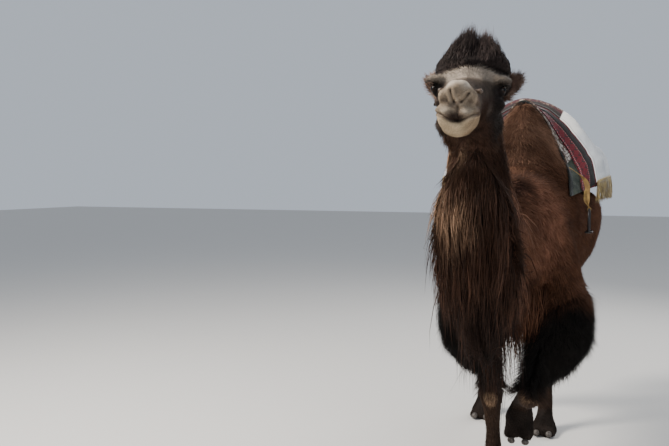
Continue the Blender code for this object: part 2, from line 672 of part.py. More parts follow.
def pulled_tight(reach):
    """Cloth under its own weight bridges hollows: the outline of the convex hull, as reach by angle."""
    points = [r * np.array([math.sin(a), math.cos(a)]) for r, a in zip(reach, BLANKET_ANGLES)]
    tight = list(reach)
    for k, angle in enumerate(BLANKET_ANGLES):
        along = np.array([math.sin(angle), math.cos(angle)])
        for i in range(k):
            for j in range(k + 1, len(points)):
                edge = points[j] - points[i]
                across = along[0] * edge[1] - along[1] * edge[0]
                if abs(across) > 1e-9:
                    crossing = (points[i][0] * edge[1] - points[i][1] * edge[0]) / across
                    tight[k] = max(tight[k], crossing)
    return tight


def blanket_form(tree):
    """Reach of the lowest blanket's inner side at every row and angle, clear of the back everywhere."""
    rows, angles = len(BLANKET_ROWS), len(BLANKET_ANGLES)
    form = np.array(
        [pulled_tight([ray_reach(tree, row_y(r, a), a) for a in BLANKET_ANGLES]) for r in range(rows)]
    )
    for r in range(rows):
        for k, angle in enumerate(BLANKET_ANGLES):
            degrees = abs(math.degrees(angle))
            side = min(1.0, max(0.0, (degrees - 30) / 12))
            share = max(ROOF_TOP[r], ROOF_SIDE[r] * side)
            roof = np.interp(degrees, ROOF_ANGLES, ROOF_REACH)
            form[r, k] += share * max(0.0, roof - form[r, k])
    form += 0.012
    samples = [(u, v) for u in np.linspace(0, 1, 5) for v in np.linspace(0, 1, 5)]
    for _ in range(8):
        for r in range(rows - 1):
            for k in range(angles - 1):
                corners = [(r, k), (r + 1, k), (r, k + 1), (r + 1, k + 1)]
                for u, v in samples:
                    angle = BLANKET_ANGLES[k] + v * (BLANKET_ANGLES[1] - BLANKET_ANGLES[0])
                    low, high = row_y(r, angle), row_y(r + 1, angle)
                    weights = [(1 - u) * (1 - v), u * (1 - v), (1 - u) * v, u * v]
                    cloth = sum(w * form[c] for w, c in zip(weights, corners))
                    lacking = ray_reach(tree, low + u * (high - low), angle) + 0.012 - cloth
                    if lacking > 0:
                        for w, c in zip(weights, corners):
                            form[c] += lacking * 0.8 * (w > 0)
    return form


def shell(name, inner, outer, collection):
    """A closed cloth between two grids of points, split along the same diagonals as every other cloth."""
    bm = bmesh.new()
    sheets = [[[bm.verts.new(point) for point in line] for line in grid] for grid in (inner, outer)]
    rows, columns = len(inner), len(inner[0])
    for flip, sheet in enumerate(sheets):
        for r in range(rows - 1):
            for k in range(columns - 1):
                a, b, c, d = sheet[r][k], sheet[r + 1][k], sheet[r + 1][k + 1], sheet[r][k + 1]
                for face in ((a, b, c), (a, c, d)):
                    bm.faces.new(face if flip else face[::-1])
    rim = [(r, 0) for r in range(rows)] + [(rows - 1, k) for k in range(1, columns)]
    rim += [(r, columns - 1) for r in range(rows - 2, -1, -1)]
    rim += [(0, k) for k in range(columns - 2, 0, -1)]
    for (r0, k0), (r1, k1) in zip(rim, rim[1:] + rim[:1]):
        bm.faces.new((sheets[0][r0][k0], sheets[0][r1][k1], sheets[1][r1][k1], sheets[1][r0][k0]))
    bmesh.ops.triangulate(bm, faces=[f for f in bm.faces if len(f.verts) > 3])
    return object_from(bm, name, collection)


def on_form(y, angle, reach):
    return BACK_LINE + Vector((reach * math.sin(angle), y, reach * math.cos(angle)))


def make_blankets(form, collection):
    """Each blanket over the last. Returns {name: object} and how far out of the form the outermost
    one reaches."""
    made, offset = {}, 0.0
    for name, (first, last, share, thickness) in BLANKETS.items():
        columns = [k for k, a in enumerate(BLANKET_ANGLES) if abs(a) <= HEM_ANGLE * share + 1e-6]
        grids = []
        for out in (offset, offset + thickness):
            grids.append(
                [
                    [
                        on_form(row_y(r, BLANKET_ANGLES[k]), BLANKET_ANGLES[k], form[r, k] + out)
                        for k in columns
                    ]
                    for r in range(first, last + 1)
                ]
            )
        made[name] = shell(name, grids[0], grids[1], collection)
        offset += thickness + BLANKET_GAP
    return made, offset


def hung_strip(name, ys, tops, flip, tree, drops, thickness, collection):
    """A strip laid on the blankets along the given top points, then hanging plumb, clear of the flank."""
    inner, outer = [], []
    for y, points in zip(ys, tops):
        line = [Vector(p) for p in points]
        x, z = line[-1].x, line[-1].z
        for drop in drops:
            hit = tree.ray_cast(Vector((flip * 1.5, y, z - drop)), Vector((-flip, 0, 0)))
            flank = flip * hit[0].x + 0.014 if hit[0] else 0.0
            line.append(Vector((flip * max(flip * x, flank), y, z - drop)))
        inner.append(line)
        out = Vector((flip * thickness * 0.8, 0, thickness * 0.6))
        hung = Vector((flip * thickness, 0, 0))
        outer.append([p + (out if i < len(points) else hung) for i, p in enumerate(line)])
    return shell(name, inner, outer, collection)


def make_fringe(name, flip, form, offset, tree, collection):
    """Gold tassels along one hem, as one band."""
    ys, tops = [], []
    for r in range(2, 10):
        points = []
        for share in (0.93, 0.995):
            angle = flip * HEM_ANGLE * share
            k = (angle + HEM_ANGLE) / (BLANKET_ANGLES[1] - BLANKET_ANGLES[0])
            low = min(int(k), len(BLANKET_ANGLES) - 2)
            reach = form[r, low] + (k - low) * (form[r, low + 1] - form[r, low])
            points.append(on_form(row_y(r, flip * HEM_ANGLE), angle, reach + offset))
        ys.append(row_y(r, flip * HEM_ANGLE))
        tops.append(points)
    drops = (0.035, 0.075, FRINGE_DROP)
    return hung_strip(name, ys, tops, flip, tree, drops, FRINGE_THICKNESS, collection)


def side_reach(tree, flip, y_range, z_range):
    """How far out the flank comes within a window of it."""
    reaches = [0.0]
    for y in np.linspace(*y_range, 6):
        for z in np.linspace(*z_range, 10):
            hit = tree.ray_cast(Vector((flip * 1.5, y, z)), Vector((-flip, 0, 0)))[0]
            reaches.append(flip * hit.x if hit else 0.0)
    return max(reaches)


def make_strap(name, flip, tree, collection):
    """The stirrup's strap, sewn over the blankets' front corner. Returns it with the x of its
    lower end."""
    ys = (STRAP_Y, STRAP_Y + STRAP_WIDTH)
    levels = np.linspace(STRAP_TOP, STRAP_END, 7)
    step = levels[0] - levels[1]
    middle = STRAP_Y + STRAP_WIDTH / 2
    beside = (middle - STIRRUP_WIDTH / 2, middle + STIRRUP_WIDTH / 2)
    end = side_reach(tree, flip, beside, (STRAP_END - STIRRUP_HEIGHT, STRAP_END)) + STIRRUP_TREAD + 0.003
    points = []
    for index, z in enumerate(levels):
        reach = side_reach(tree, flip, (ys[0] - 0.004, ys[1] + 0.004), (z - step, z + step)) + 0.004
        if index:
            reach = max(reach, points[-1][0])
        points.append((reach, z))
    start = points[0][0]
    lean = (end - start) / (len(levels) - 1)
    points = [(max(x, start + lean * k), z) for k, (x, z) in enumerate(points)]
    inner = [[Vector((flip * x, y, z)) for x, z in points] for y in ys]
    outer = [[Vector((flip * (x + STRAP_THICKNESS), y, z)) for x, z in points] for y in ys]
    return shell(name, inner, outer, collection), flip * (points[-1][0] + STRAP_THICKNESS / 2)


def make_stirrup(name, x, collection):
    """A round iron arch on a flat tread, hanging from the strap. It opens sideways."""
    y, top = STRAP_Y + STRAP_WIDTH / 2, STRAP_END - 0.0008 - STIRRUP_ROD
    half, drop = STIRRUP_WIDTH / 2, STIRRUP_HEIGHT - 2 * STIRRUP_ROD
    path = [(0, 0), (0.45, -0.04), (0.80, -0.20), (0.98, -0.52), (1.0, -0.86), (0.86, -0.985)]
    path += [(0.45, -1.0), (0, -1.0)]
    path += [(-a, b) for a, b in path[-2:0:-1]]
    bm = bmesh.new()
    rings, sides = [], 6
    for i, (a, b) in enumerate(path):
        ahead, behind = path[(i + 1) % len(path)], path[i - 1]
        along = Vector((0, (ahead[0] - behind[0]) * half, (ahead[1] - behind[1]) * drop)).normalized()
        out = Vector((0, along.z, -along.y))
        wide = STIRRUP_TREAD if b < -0.95 else STIRRUP_ROD
        centre = Vector((x, y + a * half, top + b * drop))
        ring = []
        for k in range(sides):
            turn = 2 * math.pi * k / sides
            round_x = Vector((wide * math.cos(turn), 0, 0))
            ring.append(bm.verts.new(centre + round_x + out * STIRRUP_ROD * 0.8 * math.sin(turn)))
        rings.append(ring)
    for first, second in zip(rings, rings[1:] + rings[:1]):
        for k in range(sides):
            following = (k + 1) % sides
            bm.faces.new((first[k], first[following], second[following], second[k]))
    return object_from(bm, name, collection)


def make_peg(head, collection, cutters):
    """The peg through the nose, above the nostrils."""
    bm = bmesh.new()
    length, radius = 0.082, 0.0065
    profile = [(-length, 0.004), (-length + 0.006, 0.011), (-length + 0.014, 0.011)]
    profile += [(-length + 0.020, radius)]
    profile += [(length - 0.020, radius), (length - 0.014, 0.011), (length - 0.006, 0.011)]
    profile += [(length, 0.004)]
    rings = []
    for x, r in profile:
        ring = []
        for k in range(8):
            turn = 2 * math.pi * k / 8
            spot = Vector((x, -0.268 + r * math.cos(turn), -0.010 + r * math.sin(turn)))
            ring.append(bm.verts.new(HEAD @ spot))
        rings.append(ring)
    for first, second in zip(rings, rings[1:]):
        for k in range(8):
            following = (k + 1) % 8
            bm.faces.new((first[k], first[following], second[following], second[k]))
    bm.faces.new(rings[0])
    bm.faces.new(rings[-1])
    peg = object_from(bm, "nose_peg", collection)
    socket_for(head, peg, cutters)
    return peg


def make_tack(nodes, collection, cutters):
    """Everything the camel wears, as {node: object}."""
    back = [nodes["trunk"], nodes["hump_front"], nodes["hump_rear"]]
    made = {}
    for flip, side in ((1, "left"), (-1, "right")):
        made[f"saddle_pad_{side}"] = make_pad(f"saddle_pad_{side}", flip, back, collection, cutters)
    tree = tree_of(back + list(made.values()))
    form = blanket_form(tree)
    blankets, offset = make_blankets(form, collection)
    made.update(blankets)
    flank = tree_of(back + list(made.values()))
    for flip, side in ((1, "left"), (-1, "right")):
        made[f"fringe_{side}"] = make_fringe(f"fringe_{side}", flip, form, offset, flank, collection)
        strap, x = make_strap(f"strap_{side}", flip, flank, collection)
        made[f"strap_{side}"] = strap
        made[f"stirrup_{side}"] = make_stirrup(f"stirrup_{side}", x, collection)
    made["nose_peg"] = make_peg(nodes["head"], collection, cutters)
    return made


# ---- materials and placing -----------------------------------------------------------------------
COLOURS = {
    "eye": ((0.015, 0.010, 0.008), 0.15, 0.0),
    "nail": ((0.16, 0.15, 0.14), 0.5, 0.0),
    "crest": ((0.045, 0.028, 0.022), 0.9, 0.0),
    "head": ((0.25, 0.19, 0.14), 0.9, 0.0),
    "jaw": ((0.42, 0.34, 0.25), 0.9, 0.0),
    "ear": ((0.12, 0.08, 0.055), 0.9, 0.0),
    "neck": ((0.09, 0.045, 0.028), 0.9, 0.0),
    "fore": ((0.05, 0.028, 0.022), 0.9, 0.0),
    "felt_base": ((0.12, 0.14, 0.12), 0.95, 0.0),
    "rug_mottled": ((0.42, 0.36, 0.28), 0.95, 0.0),
    "rug_crimson": ((0.30, 0.03, 0.05), 0.95, 0.0),
    "rug_dark": ((0.03, 0.03, 0.035), 0.95, 0.0),
    "sheet_pale": ((0.62, 0.62, 0.62), 0.9, 0.0),
    "fringe": ((0.55, 0.42, 0.14), 0.9, 0.0),
    "strap": ((0.45, 0.34, 0.10), 0.8, 0.0),
    "saddle_pad": ((0.20, 0.17, 0.13), 0.95, 0.0),
    "stirrup": ((0.03, 0.03, 0.03), 0.55, 0.8),
    "nose_peg": ((0.07, 0.045, 0.03), 0.6, 0.0),
}


def colour_of(name):
    for key, look in COLOURS.items():
        if name.startswith(key):
            return key, look
    return "coat", ((0.14, 0.068, 0.038), 0.9, 0.0)


def main():
    clear_scene()
    scene = bpy.context.scene.collection
    camel = bpy.data.collections.new("bactrian_camel")
    cutters = bpy.data.collections.new("cutters")
    scene.children.link(camel)
    scene.children.link(cutters)
    nodes = make_animal(camel, cutters)
    nodes.update(make_tack(nodes, camel, cutters))
    for name, obj in nodes.items():
        key, (colour, roughness, metallic) = colour_of(name)
        obj.data.materials.clear()
        obj.data.materials.append(material(key, colour, roughness, metallic))
    corners = np.array([v.co for obj in nodes.values() for v in obj.data.vertices])
    low, high = corners.min(axis=0), corners.max(axis=0)
    centring = Matrix.Translation((-(low[0] + high[0]) / 2, -(low[1] + high[1]) / 2, -low[2]))
    for obj in camel.objects:
        obj.data.transform(centring)


main()
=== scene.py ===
"""A saddled Bactrian camel in mid step, life size, as a museum shows it: the finished surfaces over the frame."""

import math

import bmesh
import bpy
import numpy as np
from mathutils import Euler, Matrix, Vector
from mathutils.bvhtree import BVHTree
from mathutils.kdtree import KDTree


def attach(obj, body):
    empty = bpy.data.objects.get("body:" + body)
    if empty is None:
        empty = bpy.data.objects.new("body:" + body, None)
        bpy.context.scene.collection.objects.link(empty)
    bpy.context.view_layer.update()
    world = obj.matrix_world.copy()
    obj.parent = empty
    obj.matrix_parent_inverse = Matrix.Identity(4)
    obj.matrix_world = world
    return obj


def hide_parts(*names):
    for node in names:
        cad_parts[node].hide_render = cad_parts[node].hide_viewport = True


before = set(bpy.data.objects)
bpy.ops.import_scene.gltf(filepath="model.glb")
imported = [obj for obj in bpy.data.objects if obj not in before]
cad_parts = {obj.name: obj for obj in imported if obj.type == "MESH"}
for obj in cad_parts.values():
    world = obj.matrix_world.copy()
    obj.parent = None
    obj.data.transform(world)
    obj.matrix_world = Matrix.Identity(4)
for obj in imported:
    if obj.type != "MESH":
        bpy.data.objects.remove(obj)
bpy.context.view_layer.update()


# ---- The studio ------------------------------------------------------------------------------------------------
# A pale seamless floor under soft lamps. The camera stands at the eye level of a standing person, some three and
# a half metres off, before the camel's left shoulder.
class Value:
    """A number or colour on its way to a material's shader. Sums on it become Math nodes."""

    def __init__(self, finish, socket):
        self.finish, self.socket = finish, socket

    def math(self, operation, *others, last=False):
        node = self.finish.nodes.new("ShaderNodeMath")
        node.operation = operation
        terms = [*others, self] if last else [self, *others]
        for socket, term in zip(node.inputs, terms):
            self.finish.feed(socket, term)
        return Value(self.finish, node.outputs[0])

    def __add__(self, other):
        return self.math("ADD", other)

    def __sub__(self, other):
        return self.math("SUBTRACT", other)

    def __rsub__(self, other):
        return self.math("SUBTRACT", other, last=True)

    def __mul__(self, other):
        return self.math("MULTIPLY", other)

    def __truediv__(self, other):
        return self.math("DIVIDE", other)

    __radd__, __rmul__ = __add__, __mul__

    def between(self, low, high, start=0.0, end=1.0):
        """start below low, end above high, smooth between."""
        settings = {"interpolation_type": "SMOOTHSTEP"}
        return self.finish.node("ShaderNodeMapRange", settings, 0, self, low, high, start, end)


class Finish:
    """A material made of one Principled shader and the nodes that vary it."""

    def __init__(self, name, colour, roughness, specular=0.5, sheen=0.0, metallic=0.0):
        self.made = bpy.data.materials.new(name)
        self.made.use_nodes = True
        self.nodes, self.links = self.made.node_tree.nodes, self.made.node_tree.links
        self.shader = self.nodes["Principled BSDF"]
        for socket, value in (
            ("Base Color", (*colour, 1)), ("Roughness", roughness), ("Specular IOR Level", specular),
            ("Sheen Weight", sheen), ("Metallic", metallic),
        ):
            self.shader.inputs[socket].default_value = value

    def feed(self, socket, value):
        if isinstance(value, Value):
            self.links.new(value.socket, socket)
        elif isinstance(value, tuple) and len(socket.default_value) == 4:
            socket.default_value = (*value, 1)
        elif value is not None:
            socket.default_value = value

    def node(self, kind, settings=None, output=0, *inputs, **named):
        """One node of a kind, its settings made first, then its sockets by order or by name."""
        node = self.nodes.new(kind)
        for setting, value in (settings or {}).items():
            if setting == "stops":
                band = node.color_ramp
                while len(band.elements) > 1:
                    band.elements.remove(band.elements[0])
                for number, (position, colour) in enumerate(value):
                    element = band.elements[0] if number == 0 else band.elements.new(position)
                    element.position, element.color = position, (*colour, 1)
            else:
                setattr(node, setting, value)
        for socket, value in zip(node.inputs, inputs):
            self.feed(socket, value)
        for name, value in named.items():
            self.feed(node.inputs[name.replace("_", " ")], value)
        return Value(self, node.outputs[output])

    def place(self):
        """Places on the piece, in metres."""
        return self.node("ShaderNodeTexCoord", None, "Object")

    def noise(self, where, scale, detail=2.0, roughness=0.5):
        return self.node("ShaderNodeTexNoise", None, "Fac", Vector=where, Scale=scale, Detail=detail,
                         Roughness=roughness)

    def mixed(self, first, second, share):
        node = self.nodes.new("ShaderNodeMix")
        node.data_type = "RGBA"
        for number, value in ((0, share), (6, first), (7, second)):
            self.feed(node.inputs[number], value)
        return Value(self, node.outputs[2])

    def scaled(self, colour, by):
        return self.node("ShaderNodeVectorMath", {"operation": "SCALE"}, 0, Vector=colour, Scale=by)

    def stretched(self, where, scale):
        return self.node("ShaderNodeMapping", None, 0, Vector=where, Scale=scale)

    def bump(self, height, distance):
        """Relief in the surface, as deep as distance in metres."""
        raised = self.node("ShaderNodeBump", None, 0, Strength=1.0, Distance=distance, Height=height)
        self.links.new(raised.socket, self.shader.inputs["Normal"])

    def colour(self, value):
        self.feed(self.shader.inputs["Base Color"], value)

    def roughness(self, value):
        self.feed(self.shader.inputs["Roughness"], value)


FLOOR_SIZE = 60.0
floor_mesh = bpy.data.meshes.new("floor")
floor_mesh.from_pydata(
    [(x * FLOOR_SIZE / 2, y * FLOOR_SIZE / 2, 0) for x, y in ((-1, -1), (1, -1), (1, 1), (-1, 1))], [], [(0, 1, 2, 3)]
)
floor_mesh.materials.append(Finish("floor_paint", (0.62, 0.60, 0.57), 0.9, 0.2).made)
floor = bpy.data.objects.new("floor", floor_mesh)
bpy.context.scene.collection.objects.link(floor)

world = bpy.data.worlds.new("studio_air")
world.use_nodes = True
world.node_tree.nodes["Background"].inputs["Color"].default_value = (0.80, 0.88, 1.0, 1)
world.node_tree.nodes["Background"].inputs["Strength"].default_value = 0.62
bpy.context.scene.world = world

for name, place, target, size, power, colour in (
    ("key_lamp", (-3.6, -2.2, 5.2), (-0.1, -0.5, 1.3), 1.9, 640, (1.0, 0.95, 0.88)),
    ("fill_lamp", (3.8, -4.2, 2.6), (0.0, -0.3, 1.1), 3.0, 90, (0.92, 0.96, 1.0)),
    ("back_lamp", (1.5, 4.5, 4.2), (0.0, 0.6, 1.4), 3.0, 160, (1.0, 0.98, 0.95)),
):
    lamp = bpy.data.lights.new(name, "AREA")
    lamp.shape, lamp.size, lamp.energy, lamp.color = "DISK", size, power, colour
    holder = bpy.data.objects.new(name, lamp)
    holder.location = place
    holder.rotation_euler = (Vector(target) - Vector(place)).to_track_quat("-Z", "Y").to_euler()
    bpy.context.scene.collection.objects.link(holder)

CAMERA_PLACE = (0.493, -3.893, 1.600)
CAMERA_YAW, CAMERA_DIP = math.radians(22.0), math.radians(3.49)
camera = bpy.data.cameras.new("camera")
camera.lens, camera.sensor_width = 38.0, 36.0
camera_holder = bpy.data.objects.new("camera", camera)
camera_holder.location = CAMERA_PLACE
camera_holder.rotation_euler = (math.pi / 2 - CAMERA_DIP, 0, CAMERA_YAW)
bpy.context.scene.collection.objects.link(camera_holder)
bpy.context.scene.camera = camera_holder


# ---- The skin --------------------------------------------------------------------------------------------------
# One hide over the whole body, under the coat. It starts as all the parts of flesh run together, is smoothed, and
# is drawn in by the depth of the coat that each part carries.
def points_of(mesh):
    found = np.empty(len(mesh.vertices) * 3, np.float32)
    mesh.vertices.foreach_get("co", found)
    return found.reshape(-1, 3).astype(float)


def triangles_of(mesh):
    mesh.calc_loop_triangles()
    found = np.empty(len(mesh.loop_triangles) * 3, np.int32)
    mesh.loop_triangles.foreach_get("vertices", found)
    return found.reshape(-1, 3)


def points_in(a, b, c):
    """An array of points from their three sets of coordinates."""
    return np.stack([a, b, c], 1)


def unit(vectors):
    return vectors / np.maximum(np.linalg.norm(vectors, axis=-1, keepdims=True), 1e-12)


def mesh_from(name, points, faces):
    """A smooth mesh from arrays of points and of triangles or quads."""
    mesh = bpy.data.meshes.new(name)
    faces = np.asarray(faces, np.int32)
    mesh.vertices.add(len(points))
    mesh.vertices.foreach_set("co", np.asarray(points, np.float32).ravel())
    mesh.loops.add(faces.size)
    mesh.loops.foreach_set("vertex_index", faces.ravel())
    mesh.polygons.add(len(faces))
    mesh.polygons.foreach_set("loop_start", np.arange(len(faces), dtype=np.int32) * faces.shape[1])
    mesh.update(calc_edges=True)
    mesh.shade_smooth()
    return mesh


def linked(name, mesh):
    obj = bpy.data.objects.new(name, mesh)
    bpy.context.scene.collection.objects.link(obj)
    return obj


def node_shape(name):
    """The points and triangles of a node of the frame."""
    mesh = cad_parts[name].data
    return points_of(mesh), triangles_of(mesh)


def run_together(shapes):
    """Several shapes as one set of points and triangles."""
    starts = np.cumsum([0] + [len(points) for points, _ in shapes])
    return (np.concatenate([points for points, _ in shapes]),
            np.concatenate([triangles + start for (_, triangles), start in zip(shapes, starts)]))


def settled(obj):
    """The object's mesh with its modifiers taken into it."""
    mesh = bpy.data.meshes.new_from_object(obj.evaluated_get(bpy.context.evaluated_depsgraph_get()))
    obj.modifiers.clear()
    obj.data = mesh
    return mesh


HEAD = (
    Matrix.Translation((-0.085, -1.0267, 1.950))
    @ Matrix.Rotation(math.radians(8.5), 4, "Z")
    @ Matrix.Rotation(math.radians(3.0), 4, "Y")
    @ Matrix.Rotation(math.radians(3.0), 4, "X")
)
HEAD_TURN = np.array(HEAD.to_3x3())
HEAD_CENTRE = np.array(HEAD.translation)


def in_head(points):
    """Points in the head's own frame: x to the camel's left, y back, z up, from midway between the eyes."""
    return (points - HEAD_CENTRE) @ HEAD_TURN


def from_head(points):
    return np.asarray(points) @ HEAD_TURN.T + HEAD_CENTRE


MUZZLE_SWING = 0.016


def swung(points, way=1):
    """The muzzle carried a little to the camel's right, as the head is."""
    points = np.array(points, float)
    points[:, 0] -= way * MUZZLE_SWING * ramp(points[:, 1], -0.10, -0.34)
    return points


def in_face(points):
    """Points in the head's own frame with the muzzle straight."""
    return swung(in_head(points), -1)


# ear: its place in the head's frame, and how far it leans out
EARS = {1: ((0.186, 0.118, 0.050), 26), -1: ((0.156, 0.124, 0.038), 40)}
EAR_HALF = (0.032, 0.016, 0.052)


def ear_tilt(flip):
    return Euler((math.radians(12), math.radians(EARS[flip][1] * flip), math.radians(28 * flip))).to_matrix()


def in_order(triangles):
    """Triangles in a fixed order: a new sphere's faces come in another order each time the model is built."""
    turn = (triangles.argmin(1)[:, None] + np.arange(3)) % 3
    triangles = np.take_along_axis(triangles, turn, 1)
    return triangles[np.lexsort(triangles.T[::-1])]


def ear_shape(flip):
    """A short round ear, cupped in front, on a root that runs into the head."""
    bm = bmesh.new()
    bmesh.ops.create_uvsphere(bm, u_segments=28, v_segments=18, radius=1.0)
    width, thickness, length = EAR_HALF
    for vert in bm.verts:
        x, y, z = vert.co
        narrow = 1 - 0.25 * max(0.0, z) ** 2
        vert.co = Vector((x * width * narrow, y * thickness, z * length))
        hollow = max(0.0, 1 - (x / 0.80) ** 2 - ((z - 0.12) / 0.85) ** 2)
        if y < 0:
            vert.co.y += (thickness * 1.35) * hollow ** 0.6 + thickness * 0.15
        vert.co.y -= 0.35 * abs(x) ** 2 * thickness
    centre = Vector(EARS[flip][0])
    centre.x *= flip
    place = HEAD @ Matrix.Translation(centre) @ ear_tilt(flip).to_4x4()
    bmesh.ops.transform(bm, matrix=place, verts=bm.verts)
    root = bmesh.ops.create_uvsphere(bm, u_segments=16, v_segments=10, radius=0.024)["verts"]
    centre = HEAD @ (centre + Vector((flip * -0.040, 0.004, -0.044)))
    bmesh.ops.translate(bm, vec=centre, verts=root)
    mesh = bpy.data.meshes.new("ear")
    bm.to_mesh(mesh)
    bm.free()
    return points_of(mesh), in_order(triangles_of(mesh))


LEGS = [f"{end}_{side}" for end in ("fore", "hind") for side in ("left", "right")]
FLESH = ["head", "jaw", "neck_upper", "neck_lower", "trunk", "hump_front", "hump_rear", "tail"]
FLESH += [f"{leg}_{part}" for leg in LEGS for part in ("upper", "lower", "foot")]
# How deep the coat lies over each part, from the hide to the tips.
COAT_DEPTH = {
    "head": 0.006, "jaw": 0.005, "neck_upper": 0.040, "neck_lower": 0.060, "trunk": 0.020, "hump_front": 0.030,
    "hump_rear": 0.030, "tail": 0.026, "fore_upper": 0.034, "hind_upper": 0.018, "lower": 0.006, "foot": 0.0045,
    "ear": 0.0015,
}
SKIN_VOXEL = 0.0055

shapes = [node_shape(name) for name in FLESH] + [ear_shape(1), ear_shape(-1)]
skin = linked("skin", mesh_from("skin", *run_together(shapes)))
remesh = skin.modifiers.new("run_together", "REMESH")
remesh.mode, remesh.voxel_size = "VOXEL", SKIN_VOXEL
settled(skin)


def edges_of(mesh):
    found = np.empty(len(mesh.edges) * 2, np.int32)
    mesh.edges.foreach_get("vertices", found)
    return found.reshape(-1, 2)


def averaged(values, edges, times, share=0.5):
    """Values on a mesh's points, each drawn towards the mean of its neighbours."""
    count = len(values)
    ends = np.concatenate([edges[:, 0], edges[:, 1]])
    others = np.concatenate([edges[:, 1], edges[:, 0]])
    degree = np.maximum(np.bincount(ends, minlength=count), 1)
    flat = values.reshape(count, -1).astype(float)
    share = np.asarray(share, float).reshape(-1, 1) if np.ndim(share) else share
    for _ in range(times):
        mean = np.stack([np.bincount(ends, flat[others, k], count) for k in range(flat.shape[1])], 1)
        flat = flat + (mean / degree[:, None] - flat) * share
    return flat.reshape(values.shape)


def normals_of(points, triangles):
    a, b, c = (points[triangles[:, k]] for k in range(3))
    face = np.cross(b - a, c - a)
    total = np.stack(
        [sum(np.bincount(triangles[:, k], face[:, i], len(points)) for k in range(3)) for i in range(3)], 1
    )
    return unit(total)


def spread_over(points, triangles, count, rng):
    """Evenly scattered places on a surface: triangle numbers and weights of their corners."""
    a, b, c = (points[triangles[:, k]] for k in range(3))
    area = np.linalg.norm(np.cross(b - a, c - a), axis=1)
    where = np.searchsorted(np.cumsum(area) / area.sum(), (np.arange(count) + rng.random(count)) / count)
    where = np.minimum(where, len(triangles) - 1)
    u, v = rng.random((2, count))
    over = u + v > 1
    u, v = np.where(over, 1 - u, u), np.where(over, 1 - v, v)
    return where, np.stack([1 - u - v, u, v], 1)


def kind_of(name):
    """The part that a node is of, the same on every leg."""
    for part in ("lower", "foot"):
        if name.endswith(part) and name[:4] in ("fore", "hind"):
            return part
    return f"{name[:4]}_upper" if name.endswith("upper") and name[:4] in ("fore", "hind") else name


KINDS = list(dict.fromkeys(kind_of(name) for name in FLESH)) + ["ear"]
LABELS_EACH = 4000    # marked places on each part, by which the hide tells its parts apart
rng = np.random.default_rng(11)
labels = KDTree(LABELS_EACH * len(shapes))
label_kinds = []
for number, (places, faces) in enumerate(shapes):
    where, weights = spread_over(places, faces, LABELS_EACH, rng)
    kind = KINDS.index(kind_of(FLESH[number]) if number < len(FLESH) else "ear")
    for spot in (places[faces[where]] * weights[:, :, None]).sum(1):
        labels.insert(spot, len(label_kinds))
        label_kinds.append(kind)
labels.balance()
label_kinds = np.array(label_kinds)


def part_weights(points, edges, times):
    """How much each point is of each kind of part, softened where two parts meet."""
    nearest = np.array([labels.find(p)[1] for p in points])
    return averaged(np.eye(len(KINDS))[label_kinds[nearest]], edges, times)


def from_centre(points, centre, radii):
    """How far points lie from the centre of an ellipsoid: 1 on its surface."""
    return np.linalg.norm((points - centre) / radii, axis=1)


# The face keeps its fine mesh, and the hide of the body is thinned.
FACE_CENTRE, FACE_RADII = (0, -0.10, -0.04), (0.24, 0.31, 0.19)
BODY_KEPT = 0.16

skin_points = averaged(points_of(skin.data), edges_of(skin.data), 7)
skin.data.vertices.foreach_set("co", skin_points.astype(np.float32).ravel())
thinned = skin.vertex_groups.new(name="thinned")
off_face = from_centre(in_head(skin_points), FACE_CENTRE, FACE_RADII) > 1
thinned.add(np.flatnonzero(off_face).tolist(), 1.0, "REPLACE")
decimate = skin.modifiers.new("thin", "DECIMATE")
decimate.ratio, decimate.vertex_group = BODY_KEPT, "thinned"
settled(skin)
skin.vertex_groups.clear()
skin_points, skin_edges, skin_triangles = points_of(skin.data), edges_of(skin.data), triangles_of(skin.data)
skin_parts = part_weights(skin_points, skin_edges, 5)


def falling(distance):
    """1 at no distance, 0 from a distance of 1 on, smooth between."""
    return np.clip(1 - np.asarray(distance) ** 2, 0, 1) ** 2


def ramp(values, low, high):
    """0 below low, 1 above high (or the other way round), smooth between."""
    t = np.clip((values - low) / (high - low), 0, 1)
    return t * t * (3 - 2 * t)


def ripple(points, size, seed):
    """Smooth waves over space, from about -1 to 1, with swells about as large as size."""
    draw = np.random.default_rng(seed)
    total = np.zeros(len(points))
    for _ in range(9):
        direction = unit(draw.normal(size=3)) * (2 * math.pi / size) * draw.uniform(0.45, 1.3)
        total += np.sin(points @ direction + draw.uniform(0, 2 * math.pi))
    return total / 3.0


def coat_depth(points, parts):
    """How far the tips of the coat stand over the hide. It is shortest on the face."""
    depth = parts @ np.array([COAT_DEPTH[kind] for kind in KINDS])
    x, y, z = in_head(points).T
    of_head = parts[:, KINDS.index("head")] + parts[:, KINDS.index("jaw")]
    cheek = ramp(y, -0.06, 0.06) * 0.012 + ramp(z, -0.12, -0.17) * ramp(y, -0.22, -0.12) * 0.010
    brow = ramp(z, 0.03, 0.09) * ramp(y, -0.16, -0.06) * 0.006
    return depth + of_head * (cheek + brow - ramp(y, -0.10, -0.22) * 0.003)


def tree_of(points, triangles):
    return BVHTree.FromPolygons(points.tolist(), triangles.tolist())


